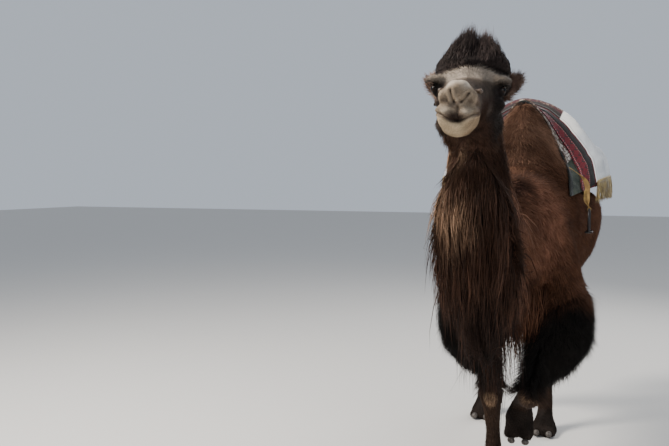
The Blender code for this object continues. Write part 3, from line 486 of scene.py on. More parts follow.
skin_depth = coat_depth(skin_points, skin_parts)
tree = tree_of(skin_points, skin_triangles)
skin_normals = normals_of(skin_points, skin_triangles)
room = np.full(len(skin_points), 1.0)
for number in np.flatnonzero(skin_depth > 0.008):
    place, inward = Vector(skin_points[number]), -Vector(skin_normals[number])
    hit = tree.ray_cast(place + inward * 0.002, inward, 0.4)
    if hit[0]:
        room[number] = hit[3]
skin_depth = averaged(np.minimum(skin_depth, room * 0.30), skin_edges, 6)
for _ in range(4):
    skin_points -= normals_of(skin_points, skin_triangles) * skin_depth[:, None] / 4
    away = ramp(from_centre(in_head(skin_points), FACE_CENTRE, FACE_RADII), 0.9, 1.2)
    skin_points = averaged(skin_points, skin_edges, 3, 0.5 * away)


# The face is worked in its own frame: lips, nostrils, the cleft of the lip, the eyelids and the folds.
EYE_PLACE, EYE_RADIUS = (0.128, -0.010, 0.012), 0.021
LID_SOCKET, LID_REACH, LID_BALL = 1.04, 1.95, 1.13     # in eye radii, across the line of sight


def shaped(points, centre, radii, push):
    """Points moved by push, most at the centre of an ellipsoid and not at all outside it."""
    weight = falling(from_centre(points, centre, radii))
    return points + weight[:, None] * np.asarray(push)


def eye_frame(flip):
    """The centre of an eye, and the ways out of it, along its lids to the outer corner, and up."""
    centre = np.array((flip * EYE_PLACE[0], EYE_PLACE[1], EYE_PLACE[2]))
    out = unit(np.array((flip * 0.86, -0.48, 0.10)))
    along = unit(np.cross((0, 0, 1.0), out)) * -flip
    up = np.cross(out, along)
    return centre, out, along, up * (1 if up[2] > 0 else -1)


# The mesh is made finer round the eyes, twice, and over the lips and nostrils, once.
skin.data.vertices.foreach_set("co", skin_points.astype(np.float32).ravel())
bm = bmesh.new()
bm.from_mesh(skin.data)
for with_muzzle, eye_reach in ((True, 2.2), (False, 1.75)):
    places = in_head(np.array([v.co for v in bm.verts]))
    from_eyes = np.minimum(*(np.linalg.norm(places - eye_frame(flip)[0], axis=1) for flip in (1, -1)))
    near = from_eyes < EYE_RADIUS * eye_reach
    near |= (places[:, 1] < -0.262) & (places[:, 2] > -0.19) & (places[:, 2] < 0.03) & with_muzzle
    bm.verts.ensure_lookup_table()
    near = near.tolist()
    cut = [e for e in bm.edges if near[e.verts[0].index] and near[e.verts[1].index]]
    bmesh.ops.subdivide_edges(bm, edges=cut, cuts=1, use_grid_fill=True, smooth=0.0)
    bmesh.ops.triangulate(bm, faces=[f for f in bm.faces if len(f.verts) > 3])
    bm.verts.index_update()
bm.to_mesh(skin.data)
bm.free()
skin.data.update()
skin_points, skin_edges, skin_triangles = points_of(skin.data), edges_of(skin.data), triangles_of(skin.data)
close_up = from_centre(in_head(skin_points), (0, -0.18, -0.04), (0.19, 0.24, 0.20)) < 1
skin_points = averaged(skin_points, skin_edges, 2, 0.5 * close_up)
face = in_head(skin_points)

crown = ramp(face[:, 2], 0.070, 0.100) * (np.linalg.norm(face[:, :2] - (0, 0.08), axis=1) < 0.22)
seam = falling((face[:, 2] + 0.114) / 0.030) * ramp(face[:, 1], 0.02, -0.04)
throat = falling(from_centre(face, (0, -0.02, -0.21), (0.10, 0.14, 0.06)))
skin_points = averaged(skin_points, skin_edges, 14, np.clip(crown + seam * 0.7 + throat, 0, 1) * 0.5)
face = in_head(skin_points)
face[:, 2] += crown * 0.045 * falling(from_centre(face[:, :2], (0, 0.08), (0.17, 0.17)))


def mouth_height(across, y):
    """The height of the line between the lips: low in front, rising round the muzzle to its corners."""
    return -0.121 + 0.026 * ramp(np.abs(across), 0.004, 0.080) + 0.022 * ramp(y, -0.34, -0.20)


def from_nostril(places, flip):
    """How far points of the face lie from the curve of a nostril, as seen from in front."""
    start, end = np.array((0.002 + flip * 0.012, -0.056)), np.array((0.008 + flip * 0.032, -0.020 - flip * 0.006))
    along, places = end - start, places[:, [0, 2]]
    share = np.clip(((places - start) @ along) / (along @ along), 0, 1)
    bow = (np.sin(share * math.pi) * 0.005)[:, None] * np.array((flip * 0.6, 0.6))
    return np.linalg.norm(places - (start + share[:, None] * along + bow), axis=1)


for flip in (1, -1):
    # the wings of the nose, the slit of the nostril and its rolled rim
    face = shaped(face, (flip * 0.056, -0.345, -0.034), (0.032, 0.042, 0.034), (flip * 0.010, -0.010, 0.004))
    face = shaped(face, (flip * 0.062, -0.300, -0.066), (0.030, 0.060, 0.020), (flip * -0.009, 0.006, 0))
    # the pad between the nostrils and the lump above it
    face = shaped(face, (0.0, -0.362, -0.030), (0.020, 0.040, 0.028), (0, -0.007, 0.002))
    face = shaped(face, (flip * 0.018, -0.335, 0.006), (0.028, 0.044, 0.022), (flip * 0.002, -0.004, 0.006))
    # lobes of the upper lip
    face = shaped(face, (flip * 0.034, -0.372, -0.092), (0.032, 0.055, 0.032), (flip * 0.002, -0.015, -0.003))
    face = shaped(face, (flip * 0.076, -0.300, -0.090), (0.034, 0.070, 0.036), (flip * 0.006, 0, 0))
for flip in (1, -1):
    across, front = from_nostril(face, flip), ramp(face[:, 1], -0.27, -0.30)
    face[:, 1] += front * (0.009 * falling(across / 0.0050) - 0.005 * falling((across - 0.012) / 0.009))
# the cleft under the nose that parts the upper lip
cleft = ramp(face[:, 1], -0.30, -0.33) * ramp(face[:, 2], -0.052, -0.064) * ramp(face[:, 2], -0.135, -0.112)
face[:, 1] += cleft * 0.005 * falling((face[:, 0] - 0.002) / 0.0095)
# the line between the lips, and the lower lip rolled out under it
gap = face[:, 2] - mouth_height(face[:, 0], face[:, 1])
mouth = ramp(face[:, 1], -0.185, -0.225)
inwards = unit(points_in(face[:, 0], (face[:, 1] + 0.26) * 0.7, np.zeros(len(face))))
front = ramp(np.abs(face[:, 0]), 0.085, 0.055)
face -= inwards * (mouth * (0.006 + 0.005 * front) * falling(gap / 0.0080))[:, None]
face += inwards * (mouth * 0.0045 * front * falling((gap + 0.020) / 0.014))[:, None]
face += inwards * (mouth * 0.0035 * front * falling((gap - 0.018) / 0.012))[:, None]
face[:, 0] *= 1 - 0.10 * ramp(gap, 0.010, -0.022) * ramp(face[:, 1], -0.19, -0.26)
# folds of skin over the bridge of the nose
def fold_wave(places):
    """The folds across the bridge: 1 on their crests, -1 in the furrows."""
    return np.sin(places[:, 1] * 260 + 90 * np.abs(places[:, 0]) + 1.5 * ripple(places, 0.05, 71))


folds = falling(from_centre(face, (0, -0.225, 0.030), (0.08, 0.085, 0.06)))
face[:, 2] += folds * 0.0052 * fold_wave(face)
lumps = falling(from_centre(face, (0, -0.33, -0.05), (0.10, 0.10, 0.10)))
face[:, 1] += lumps * 0.0034 * ripple(face, 0.022, 72)
face[:, 2] += lumps * 0.0018 * ripple(face, 0.026, 73)
# the right cheek, drawn in under the eye
face = shaped(face, (-0.145, 0.000, -0.052), (0.070, 0.150, 0.062), (0.021, 0, 0))
for flip in (1, -1):
    # sockets, brows and lids
    centre, out, along, up = eye_frame(flip)
    face = shaped(face, centre + (flip * 0.006, -0.004, 0.036), (0.05, 0.055, 0.022), (flip * 0.010, -0.006, 0.004))
    face = shaped(face, centre + (flip * 0.004, -0.010, -0.036), (0.04, 0.05, 0.018), (flip * 0.004, -0.003, 0))
    offset = (face - centre) / EYE_RADIUS
    a, b, height = offset @ along, offset @ up, offset @ out
    reach = np.hypot(a, b)
    turn = np.arctan2(b - 0.10 * a, a)
    margin = np.where(turn > 0, 0.74, 0.66) + 0.26 * np.abs(np.cos(turn)) ** 2.6
    share = np.clip((reach - LID_SOCKET) / (LID_REACH - LID_SOCKET), 0, 1)
    over = margin + (LID_REACH - margin) * share**0.85
    lid_height = np.sqrt(np.clip(LID_BALL**2 - over**2, 0.02, None))
    crease = falling((share - 0.34) / 0.13) * (turn > 0) * 0.12
    rim = falling(share / 0.10) * 0.06
    lid_height += rim - crease
    outward = ramp(share, 0.25, 0.95)
    tucked = reach < LID_SOCKET
    over = np.where(tucked, margin * reach / LID_SOCKET, over)
    lid_height = np.where(tucked, 0.30, lid_height * (1 - outward) + height * outward)
    held = (reach < LID_REACH) & (height > -0.9) & (np.linalg.norm(offset, axis=1) < 2.4)
    scale = over / np.maximum(reach, 1e-6)
    moved = (a * scale)[:, None] * along + (b * scale)[:, None] * up + lid_height[:, None] * out
    moved = centre + EYE_RADIUS * moved
    face = np.where(held[:, None], moved, face)
skin_points = from_head(swung(face))
skin.data.vertices.foreach_set("co", skin_points.astype(np.float32).ravel())
skin.data.update()
skin_normals = normals_of(skin_points, skin_triangles)
skin_parts = part_weights(skin_points, skin_edges, 5)


# ---- The coat's colours ----------------------------------------------------------------------------------------
# Bactrian winter coat: reddish brown on the body, black-brown on crest, mane, beard and the thick sleeves of the
# forelegs, grey-beige on the face, cream on the chin. Hide and hair share one rule of colour.
# The rule also paints shade and a highlight into the face, and a shadow into the hollow of the neck.
def layered(colour, layers):
    """A base colour with others laid over it in turn, each by its share at each place."""
    for other, share in layers:
        colour = colour + (np.asarray(other, float) - colour) * np.clip(share, 0, 1)[:, None]
    return colour


def crest_rim(across, back):
    """How high on the head the crest begins."""
    return 0.078 + 0.030 * falling((across - 0.015) / 0.15) * ramp(back, 0.08, 0.0)


def body_colour(points, part, wander, fine):
    """The colour of the coat behind the head, with a shadow painted into the hollow of the neck."""
    x, y, z = points.T
    humps = part["hump_front"] + part["hump_rear"]
    neck = part["neck_upper"] + part["neck_lower"]
    shoulder = falling(from_centre(points, (0.16, -0.50, 1.42), (0.17, 0.30, 0.30)) * 0.8)
    # the hollow at the bottom of the neck's curve, on its left side, where a shadow is painted into the coat
    hollow = falling(from_centre(points, (0.055, -0.50, 1.585), (0.09, 0.12, 0.10)) * 0.85)
    throat = neck * ramp(x + 0.04 * wander, -0.08, -0.18) * ramp(z, 1.38, 1.56) * ramp(z, 2.02, 1.92)
    nape = neck * ramp(y + 0.04 * wander, -0.92, -0.76) * ramp(z, 1.10, 1.30)
    sleeve = part["fore_upper"] * ramp(z + 0.05 * wander, 1.06, 0.94)
    colour = layered(np.tile((0.105, 0.046, 0.025), (len(points), 1)), (
        ((0.180, 0.092, 0.056), ramp(z + 0.03 * wander, 1.50, 1.85) * 0.7),
        ((0.056, 0.025, 0.014), ramp(z + 0.06 * wander, 1.20, 0.92)),
        ((0.050, 0.022, 0.013), ramp(y, -0.35, -0.60) * ramp(z, 1.25, 1.05) * 0.8),
        ((0.185, 0.102, 0.066), humps * (0.55 + 0.3 * wander)),
        ((0.230, 0.105, 0.066), shoulder * (0.85 + 0.15 * fine) * ramp(x, 0.02, 0.08)),
        # the neck: dark mane and beard, paler on the right side of the throat, and a painted shadow in the hollow at
        # the bottom of its curve
        ((0.028, 0.0135, 0.0085), neck * ramp(y + 0.5 * x, -0.48, -0.66) * (0.92 + 0.1 * fine)),
        ((0.280, 0.172, 0.105), throat * (0.80 + 0.30 * fine)),
        ((0.0135, 0.0080, 0.0062), neck * ramp(z + 0.04 * wander, 1.26, 1.04) * 0.85),
        ((0.150, 0.070, 0.042), nape),
        # painted shadow in the hollow at the bottom of the neck's curve
        ((0.020, 0.009, 0.007), hollow),
        # the legs and the tail
        ((0.0085, 0.0070, 0.0062), sleeve),
        ((0.026, 0.016, 0.012), part["fore_upper"] * ramp(z, 0.66, 0.58) * 0.7),
        ((0.060, 0.031, 0.020), part["hind_upper"] * ramp(z, 1.0, 0.8)),
        ((0.046, 0.027, 0.018), part["lower"]),
        ((0.026, 0.018, 0.014), part["foot"]),
        ((0.040, 0.022, 0.015), part["tail"]),
    ))
    # the knees are bare and pale
    knees = ((-0.090, -0.365, 0.490), (0.052, 0.06, 0.052)), ((0.119, -0.575, 0.580), (0.060, 0.06, 0.026))
    for knee, size in knees:
        bare = ramp(from_centre(points, knee, size), 1.05, 0.70) * (1 - part["fore_upper"])
        colour = layered(colour, [((0.300, 0.195, 0.120), bare * (0.9 + 0.1 * fine))])
    return colour


def head_colour(points, wander, fine):
    """The colour of the coat on the head, with shade and a highlight painted into it, worked out in the head's own
    frame.
    """
    places = in_face(points)
    a, b, c = places.T
    side = np.abs(a)
    of_both_sides = points_in(side, b, c)

    def spot(centre, size, places=of_both_sides):
        return falling(from_centre(places, centre, size))

    brow = ramp(c + 0.010 * wander, 0.032, 0.058) * ramp(b, -0.24, -0.14) * (1 - 0.6 * ramp(side, 0.085, 0.13))
    cheek = ramp(c + 0.012 * wander, 0.000, -0.050) * ramp(b, -0.22, -0.15)
    bridge_fold_shade = spot((0.0, -0.245, 0.034), (0.075, 0.070, 0.045))
    line = c - mouth_height(a, b)
    # the patch over the mouth: partly brown-stained lip, partly painted shade of the opening under the lifted upper
    # lip
    patch = falling((line - 0.010) / 0.036) * falling((a + 0.004) / 0.060) * ramp(b, -0.26, -0.31)
    # the line between the lips: painted shade in their crease
    lip_crease_shade = ramp(b, -0.17, -0.23) * falling(line / 0.0050) * (0.45 + 0.35 * falling(a / 0.07))
    chin = ramp(line, -0.008, -0.016) * ramp(b, -0.19, -0.25)
    # painted shade on the chin, darker towards its left side and its bottom
    chin_painted_shade = np.clip(0.75 * ramp(a, 0.010, 0.062) + 0.7 * ramp(line, -0.040, -0.066), 0, 0.85)
    in_crest = ramp(c - crest_rim(a, b) + 0.004 * fine, -0.022, -0.008) * ramp(b, -0.14, -0.09)
    # the cleft of the lip: painted shade in its groove
    cleft = 0.5 * falling((a - 0.002) / 0.007) * ramp(c, -0.050, -0.060)
    cleft = cleft * ramp(line, 0.0, 0.01) * ramp(b, -0.30, -0.34)
    # the slits of the nostrils: painted shade inside them
    nostril_slit_shade = [falling(from_nostril(places, flip) / 0.0064) * ramp(b, -0.29, -0.33) for flip in (1, -1)]
    tone = layered(np.tile((0.120, 0.092, 0.073), (len(points), 1)), (
        # pale brow under the crest, grey folded bridge with painted shade in the furrows of its folds, dark cheeks
        ((0.400, 0.335, 0.270), brow),
        ((0.050, 0.042, 0.038), spot((0.035, -0.185, 0.040), (0.050, 0.060, 0.040)) * (0.55 + 0.45 * fine)),
        ((0.052, 0.027, 0.018), cheek),
        ((0.026, 0.019, 0.016), ramp(side, 0.075, 0.115) * ramp(c, 0.040, 0.015) * ramp(b, -0.17, -0.10)),
        ((0.115, 0.090, 0.074), spot((0.098, -0.085, -0.075), (0.030, 0.030, 0.060)) * 0.8),
        # the muzzle: pale in front and on top, with a painted highlight on the lump at the top of the nose, browner at
        # its sides
        ((0.340, 0.262, 0.185), ramp(b + 0.012 * fine, -0.225, -0.290)),
        ((0.165, 0.125, 0.096), spot((-0.020, -0.36, -0.066), (0.045, 0.06, 0.020), places) * 0.8),
        ((0.120, 0.098, 0.084), spot((-0.036, -0.300, 0.012), (0.024, 0.04, 0.026), places) * 0.8),
        ((0.150, 0.098, 0.066), ramp(a, 0.046, 0.074) * ramp(b, -0.37, -0.31) * ramp(b, -0.20, -0.26)),
        ((0.300, 0.235, 0.170), ramp(-a, 0.055, 0.085) * ramp(b, -0.36, -0.30) * ramp(b, -0.20, -0.26)),
        # painted shade in the furrows between the folds of the bridge
        ((0.075, 0.062, 0.054), bridge_fold_shade * ramp(fold_wave(places), -0.1, -0.8) * 0.75),
        # painted highlight: the lump at the top of the nose, its pale hair brightened as where the light falls
        ((0.760, 0.680, 0.570), spot((0.014, -0.335, 0.006), (0.050, 0.060, 0.040))),
        ((0.520, 0.440, 0.340), spot((0.036, -0.385, -0.086), (0.034, 0.05, 0.024)) * 0.8),
        # the mouth: a dark patch over it, partly brown-stained lip and partly painted shade of the opening under the
        # upper lip, painted shade in the crease between the lips, and a cream chin with painted shade towards its left
        # side and its bottom, brown under the jaw
        ((0.052, 0.032, 0.023), patch * 1.15),
        ((0.075, 0.050, 0.038), lip_crease_shade),
        ((0.660, 0.510, 0.330), ramp(line, -0.005, -0.014) * ramp(b, -0.19, -0.25) * ramp(c, -0.21, -0.185)),
        ((0.300, 0.205, 0.125), chin * chin_painted_shade),
        ((0.110, 0.072, 0.050), ramp(line, -0.055, -0.072) * ramp(b, -0.36, -0.24) * ramp(b, -0.10, -0.2)),
        ((0.058, 0.040, 0.031), ramp(-a, 0.06, 0.09) * ramp(c, 0.000, -0.040) * ramp(b, -0.22, -0.15)),
        # the eyes' dark rims and pale lids, the crest and the back of the head
        ((0.014, 0.010, 0.009), spot((0.130, -0.018, 0.004), (0.050, 0.070, 0.046))),
        ((0.260, 0.210, 0.160), spot((0.112, -0.055, 0.058), (0.045, 0.040, 0.013)) * 0.8),
        ((0.022, 0.015, 0.013), in_crest),
        ((0.045, 0.025, 0.018), ramp(b + 0.02 * wander, 0.05, 0.11)),
        # the nostrils' slits and the cleft of the lip, darkened as painted shade in their grooves, and the shade under
        # the nostrils
        *[((0.100, 0.070, 0.055), nostril * 0.65) for nostril in nostril_slit_shade],
        ((0.150, 0.105, 0.080), spot((0.048, -0.36, -0.052), (0.020, 0.05, 0.014)) * 0.6),
        ((0.160, 0.115, 0.085), cleft),
    ))
    return tone * (1 + 0.20 * fine + 0.08 * wander)[:, None]


def coat_colour(points, parts):
    """The colour of the coat at each place, with some light and shade painted into it, linear red, green and blue."""
    part = {kind: parts[:, number] for number, kind in enumerate(KINDS)}
    wander, fine = ripple(points, 0.16, 3), ripple(points, 0.045, 4)
    body = body_colour(points, part, wander, fine) * (1 + 0.15 * fine + 0.18 * wander)[:, None]
    colour = layered(body, (
        (head_colour(points, wander, fine), part["head"] + part["jaw"]),
        ((0.085, 0.052, 0.038), part["ear"]),
        ((0.210, 0.150, 0.115), part["ear"] * ramp(fine, 0.1, 0.7) * 0.7),
    ))
    return np.clip(colour, 0.004, 0.9)


# ---- The short coat --------------------------------------------------------------------------------------------
# Flat-lying tufts of under-wool and guard hair all over the body. They run back along the flanks, fan out from the
# tops of the humps, hang on the legs, and are no more than a nap on the muzzle and the feet.
unwrapped = linked("unwrapped", skin.data.copy())
thin = unwrapped.modifiers.new("thin", "DECIMATE")
thin.ratio = 0.05
settled(unwrapped)
bpy.context.view_layer.objects.active = unwrapped
unwrapped.select_set(True)
bpy.ops.object.mode_set(mode="EDIT")
bpy.ops.mesh.select_all(action="SELECT")
bpy.ops.uv.smart_project(angle_limit=math.radians(70), island_margin=0.004)
bpy.ops.object.mode_set(mode="OBJECT")
flat_places = points_of(unwrapped.data)
flat_faces = triangles_of(unwrapped.data)
flat_loops = np.empty(len(unwrapped.data.loop_triangles) * 3, np.int32)
unwrapped.data.loop_triangles.foreach_get("loops", flat_loops)
flat_uv = np.empty(len(unwrapped.data.loops) * 2, np.float32)
unwrapped.data.uv_layers.active.data.foreach_get("uv", flat_uv)
flat_uv = flat_uv.reshape(-1, 2)[flat_loops.reshape(-1, 3)].astype(float)
flat_tree = tree_of(flat_places, flat_faces)
bpy.data.objects.remove(unwrapped)


def flat_place(points):
    """Where each point of the hide lies on the hide laid flat."""
    hits = [flat_tree.find_nearest(p) for p in points.tolist()]
    spots = np.array([h[0] for h in hits])
    faces = np.array([h[2] for h in hits])
    a, b, c = (flat_places[flat_faces[faces, k]] for k in range(3))
    ab, ac, ap = b - a, c - a, spots - a
    d00, d01, d11 = (ab * ab).sum(1), (ab * ac).sum(1), (ac * ac).sum(1)
    d20, d21 = (ap * ab).sum(1), (ap * ac).sum(1)
    span = np.maximum(d00 * d11 - d01 * d01, 1e-18)
    v = np.clip((d11 * d20 - d01 * d21) / span, 0, 1)
    w = np.clip((d00 * d21 - d01 * d20) / span, 0, 1)
    u = np.clip(1 - v - w, 0, 1)
    uv = flat_uv[faces]
    return (uv[:, 0] * u[:, None] + uv[:, 1] * v[:, None] + uv[:, 2] * w[:, None]) / (u + v + w)[:, None]


PATCH = 0.003    # how much of the flat hide's map one lock takes up
SIDES = 3


def carry_colour(mesh, colours):
    """Each point's own colour, for the material of the hair."""
    attribute = mesh.color_attributes.new("hair", "FLOAT_COLOR", "POINT")
    attribute.data.foreach_set("color", np.c_[colours, np.ones(len(colours))].astype(np.float32).ravel())


def tuft_mesh(name, lines, sides, widths, colours, roots_uv, flatness=0.5):
    """Closed three-sided locks along the given lines: lines (n, k, 3), sideways vectors (n, k, 3), widths (n, k)."""
    count, steps = lines.shape[:2]
    along = np.gradient(lines, axis=1)
    across = unit(sides - along * ((sides * along).sum(2) / np.maximum((along * along).sum(2), 1e-12))[:, :, None])
    over = unit(np.cross(across, along))
    turn = math.pi / 2 + 2 * math.pi * np.arange(SIDES) / SIDES
    rings = (
        lines[:, :-1, None, :]
        + across[:, :-1, None, :] * (np.cos(turn) * 0.5)[None, None, :, None] * widths[:, :-1, None, None]
        + over[:, :-1, None, :] * (np.sin(turn) * 0.5 * flatness)[None, None, :, None] * widths[:, :-1, None, None]
    )
    per = (steps - 1) * SIDES + 1
    points = np.concatenate([rings.reshape(count, -1, 3), lines[:, -1:, :]], 1)
    share = np.arange(steps) / (steps - 1)
    spin = np.stack([np.cos(turn), np.sin(turn)], 1)
    patch = (spin[None] * (1 - 0.9 * share[:-1, None, None])).reshape(-1, 2)
    patch = np.concatenate([patch, [[0.0, 0.0]]]) * PATCH / 2
    # the root's cap, the sides and the tip, all facing outwards
    faces = [[0, 1, 2]]
    for j in range(steps - 2):
        for k in range(SIDES):
            a, b = j * SIDES + k, j * SIDES + (k + 1) % SIDES
            faces += [[a, b + SIDES, b], [a, a + SIDES, b + SIDES]]
    last = (steps - 2) * SIDES
    faces += [[last + (k + 1) % SIDES, last + k, per - 1] for k in range(SIDES)]
    every = (np.arange(count)[:, None, None] * per + np.array(faces)[None]).reshape(-1, 3)
    mesh = mesh_from(name, points.reshape(-1, 3), every)
    shade = np.concatenate([np.repeat(colours[:, :-1], SIDES, axis=1), colours[:, -1:]], 1).reshape(-1, 3)
    carry_colour(mesh, shade)
    layer = mesh.uv_layers.new(name="OFBake")
    places = (roots_uv[:, None, :] + patch[None]).reshape(-1, 2)
    layer.data.foreach_set("uv", places[every.ravel()].astype(np.float32).ravel())
    return mesh


HUMPS = {"hump_front": (0.005, 0.003), "hump_rear": (-0.005, 0.673)}
SPINE_X = -0.05    # the hair of the trunk parts along this line


def lie_of(points, normals, parts, rng, stray=9.0):
    """The way the hair runs at each place, along the hide."""
    x, y, z = points.T
    count = len(points)
    flow = np.zeros((count, 3))
    weights = {kind: parts[:, number][:, None] for number, kind in enumerate(KINDS)}
    front = ramp(y, -0.25, -0.50)
    belly = ramp(normals[:, 2], -0.5, -0.85)
    body = points_in(0.10 * np.sign(x - SPINE_X), 0.62 - 0.45 * front, -0.75 - 0.2 * front + 0 * x)
    body[:, 1] += belly * 0.8
    body[:, 2] += ramp(normals[:, 2], 0.5, 0.9) * 0.5
    flow += weights["trunk"] * body
    for kind, (top_x, top_y) in HUMPS.items():
        away = unit(points_in(x - top_x, y - top_y, 0 * x) + 1e-6)
        flow += weights[kind] * (away * 0.55 + (0, 0.30, -0.85))
    nape = (ramp(normals[:, 2], 0.1, 0.6) * ramp(y, -1.02, -0.94))[:, None]
    fall = np.array((0, -0.04, -1.0)) + nape * points_in(0.9 * np.sign(x + 0.07), 0.3 + 0 * x, 0.3 + 0 * x)
    under = ramp(normals[:, 2], -0.15, -0.50) * ramp(in_head(points)[:, 2], -0.34, -0.25)
    fall = fall + under[:, None] * np.array((0, 1.6, 0.3))
    flow += (weights["neck_upper"] + weights["neck_lower"]) * fall
    flow += weights["fore_upper"] * np.array((0, 0.12, -1.0)) + weights["hind_upper"] * np.array((0, 0.30, -1.0))
    lifted = ((x > 0.0) & (y > -0.62) & (y < 0.0))[:, None]
    shank = np.where(lifted & (z > 0.40)[:, None], (-0.19, 0.88, -0.42), (0.0, 0.05, -1.0))
    flow += (weights["lower"] * shank + weights["foot"] * np.array((0, -0.25, -1.0))
             + weights["tail"] * np.array((0, 0.1, -1.0)))
    a, _, c = in_head(points).T
    back = points_in(0.15 * np.sign(a), 1 + 0 * a, 0.40 * ramp(c, -0.06, 0.05) - 0.55 * ramp(c, -0.03, -0.12))
    flow += (weights["head"] + weights["jaw"]) * (unit(back) @ HEAD_TURN.T)
    for flip in (1, -1):
        tip = HEAD_TURN @ np.array(ear_tilt(flip) @ Vector((0, 0, 1)))
        flow += weights["ear"] * np.where((a * flip > 0)[:, None], tip, 0.0)
    flow = flow - normals * (flow * normals).sum(1)[:, None]
    flow = unit(flow + 1e-6)
    side = np.cross(normals, flow)
    turn = np.radians(ripple(points, 0.22, 21) * 11 + ripple(points, 0.07, 22) * 8 + rng.normal(size=count) * stray)
    return unit(flow * np.cos(turn)[:, None] + side * np.sin(turn)[:, None])


def swept(roots, normals, lie, length, rise, droop, steps, bend, rng, curl=0.0):
    """Lines that leave the hide at an angle, sink towards it and hang a little. Returns lines and sideways vectors."""
    count = len(roots)
    side = np.cross(lie, normals)
    line, place = [roots], roots
    phase = rng.uniform(0, 2 * math.pi, count)
    for step in range(steps):
        share = (step + 0.5) / steps
        angle = np.radians(rise * (1 - share) ** 0.8 + bend * share)
        way = lie * np.cos(angle)[:, None] + normals * np.sin(angle)[:, None]
        way[:, 2] -= droop * share
        way = unit(way)
        if curl:
            way = unit(way + side * (curl * np.sin(phase + share * 5.5))[:, None])
        place = place + way * (length / steps)[:, None]
        line.append(place)
    return np.stack(line, 1), np.repeat(side[:, None], steps + 1, 1)


skin_tree = tree_of(skin_points, skin_triangles)
TACK = ["felt_base", "rug_mottled", "rug_crimson", "rug_dark", "sheet_pale", "saddle_pad_left", "saddle_pad_right"]
TACK += ["strap_left", "strap_right", "fringe_left", "fringe_right"]
tack_shapes = [node_shape(name) for name in TACK]
tack_tree = tree_of(*run_together(tack_shapes))
felt_tree = tree_of(*tack_shapes[0])
skin_middles = skin_points[skin_triangles].mean(1)
skin_kinds = skin_parts[skin_triangles].mean(1).argmax(1)


def rooted(kinds, density, seed, where=None):
    """Places on the hide of the given parts: points, normals and part weights. None lie under the blankets."""
    draw = np.random.default_rng(seed)
    chosen = np.isin(skin_kinds, [KINDS.index(kind) for kind in kinds])
    if where is not None:
        chosen &= where(skin_middles)
    faces = skin_triangles[chosen]
    a, b, c = (skin_points[faces[:, k]] for k in range(3))
    area = np.linalg.norm(np.cross(b - a, c - a), axis=1).sum() / 2
    pick, weights = spread_over(skin_points, faces, int(area * density), draw)
    corners = faces[pick]
    points = (skin_points[corners] * weights[:, :, None]).sum(1)
    normals = unit((skin_normals[corners] * weights[:, :, None]).sum(1))
    parts = (skin_parts[corners] * weights[:, :, None]).sum(1)
    near_felt = (points[:, 2] > 1.35) & (points[:, 1] > -0.35) & (points[:, 1] < 0.85)
    keep = points[:, 2] > 0.004
    for number in np.flatnonzero(near_felt):
        place, out = Vector(points[number]), Vector(normals[number])
        keep[number] &= felt_tree.ray_cast(place, out, 0.16)[0] is None
    return points[keep], normals[keep], parts[keep], draw


def clear_of_tack(lines):
    """Which lines don't run into a blanket, strap or pad."""
    roots, tips = lines[:, 0], lines[:, -1]
    near = np.flatnonzero((roots[:, 2] > 1.25) & (roots[:, 1] > -0.45) & (roots[:, 1] < 0.90))
    keep = np.ones(len(lines), bool)
    for number in near:
        way = Vector(tips[number] - roots[number])
        keep[number] = tack_tree.ray_cast(Vector(roots[number]), way.normalized(), way.length * 1.05)[0] is None
    return keep


# Hair: the colour that each lock carries, broken up into strands, with a soft gloss.
coat = Finish("coat", (0.1, 0.05, 0.03), 0.68, 0.12)
carried = coat.node("ShaderNodeAttribute", {"attribute_name": "hair"}, "Color")
strands = coat.noise(coat.stretched(coat.place(), (1.0, 1.0, 0.35)), 650, 2)
coat.colour(coat.scaled(carried, strands.between(0.25, 0.75, 0.70, 1.30)))
# sections of a lock: its width at the root, at each joint and at the tip
PROFILE = {1: (1.0, 0), 2: (0.9, 0.75, 0), 3: (0.8, 1.0, 0.6, 0), 4: (0.8, 1.0, 0.85, 0.5, 0)}


def fitted(name, mesh, material, slot, *replaced):
    """A finished piece: its object, its one material, and its place on the frame."""
    mesh.materials.append(material)
    piece = linked(name, mesh)
    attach(piece, "root")
    if replaced:
        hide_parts(*replaced)
    return piece


def lay_coat(name, lines, sides, width, roots, parts, rng, contrast=0.22, light_tips=0.30):
    """One coat piece from its lines, coloured by the coat's rule at the root of each tuft."""
    steps = lines.shape[1]
    base = coat_colour(roots, parts) * np.exp(rng.normal(size=(len(roots), 1)) * contrast)
    share = np.arange(steps) / (steps - 1)
    tone = (0.72 + (0.28 + light_tips) * share)[None, :, None]
    mesh = tuft_mesh(name, lines, sides, width[:, None] * np.array(PROFILE[steps - 1]), base[:, None, :] * tone,
                     flat_place(roots))
    return fitted(name, mesh, coat.made, "coat")


# part: tufts per square metre, length, width, rise at the root, bend at the tip, droop, sections
SHORT_COAT = {
    "trunk": (31000, 0.036, 0.0046, 19, 10, 0.06, 1),
    "hump_front": (62000, 0.050, 0.0040, 30, 10, 0.12, 1),
    "hump_rear": (62000, 0.050, 0.0040, 30, 10, 0.12, 1),
    "neck_upper": (48000, 0.062, 0.0042, 30, 8, 0.4, 1),
    "neck_lower": (38000, 0.060, 0.0044, 26, 8, 0.3, 1),
    "fore_upper": (58000, 0.060, 0.0038, 42, 26, 0.20, 1),
    "hind_upper": (30000, 0.042, 0.0048, 22, 14, 0.10, 1),
    "lower": (42000, 0.017, 0.0034, 15, 12, 0.05, 1),
    "foot": (40000, 0.012, 0.0032, 16, 12, 0.05, 1),
    "tail": (12000, 0.110, 0.0070, 20, 4, 0.4, 3),
    "ear": (150000, 0.032, 0.0021, 40, 26, 0.02, 1),
}


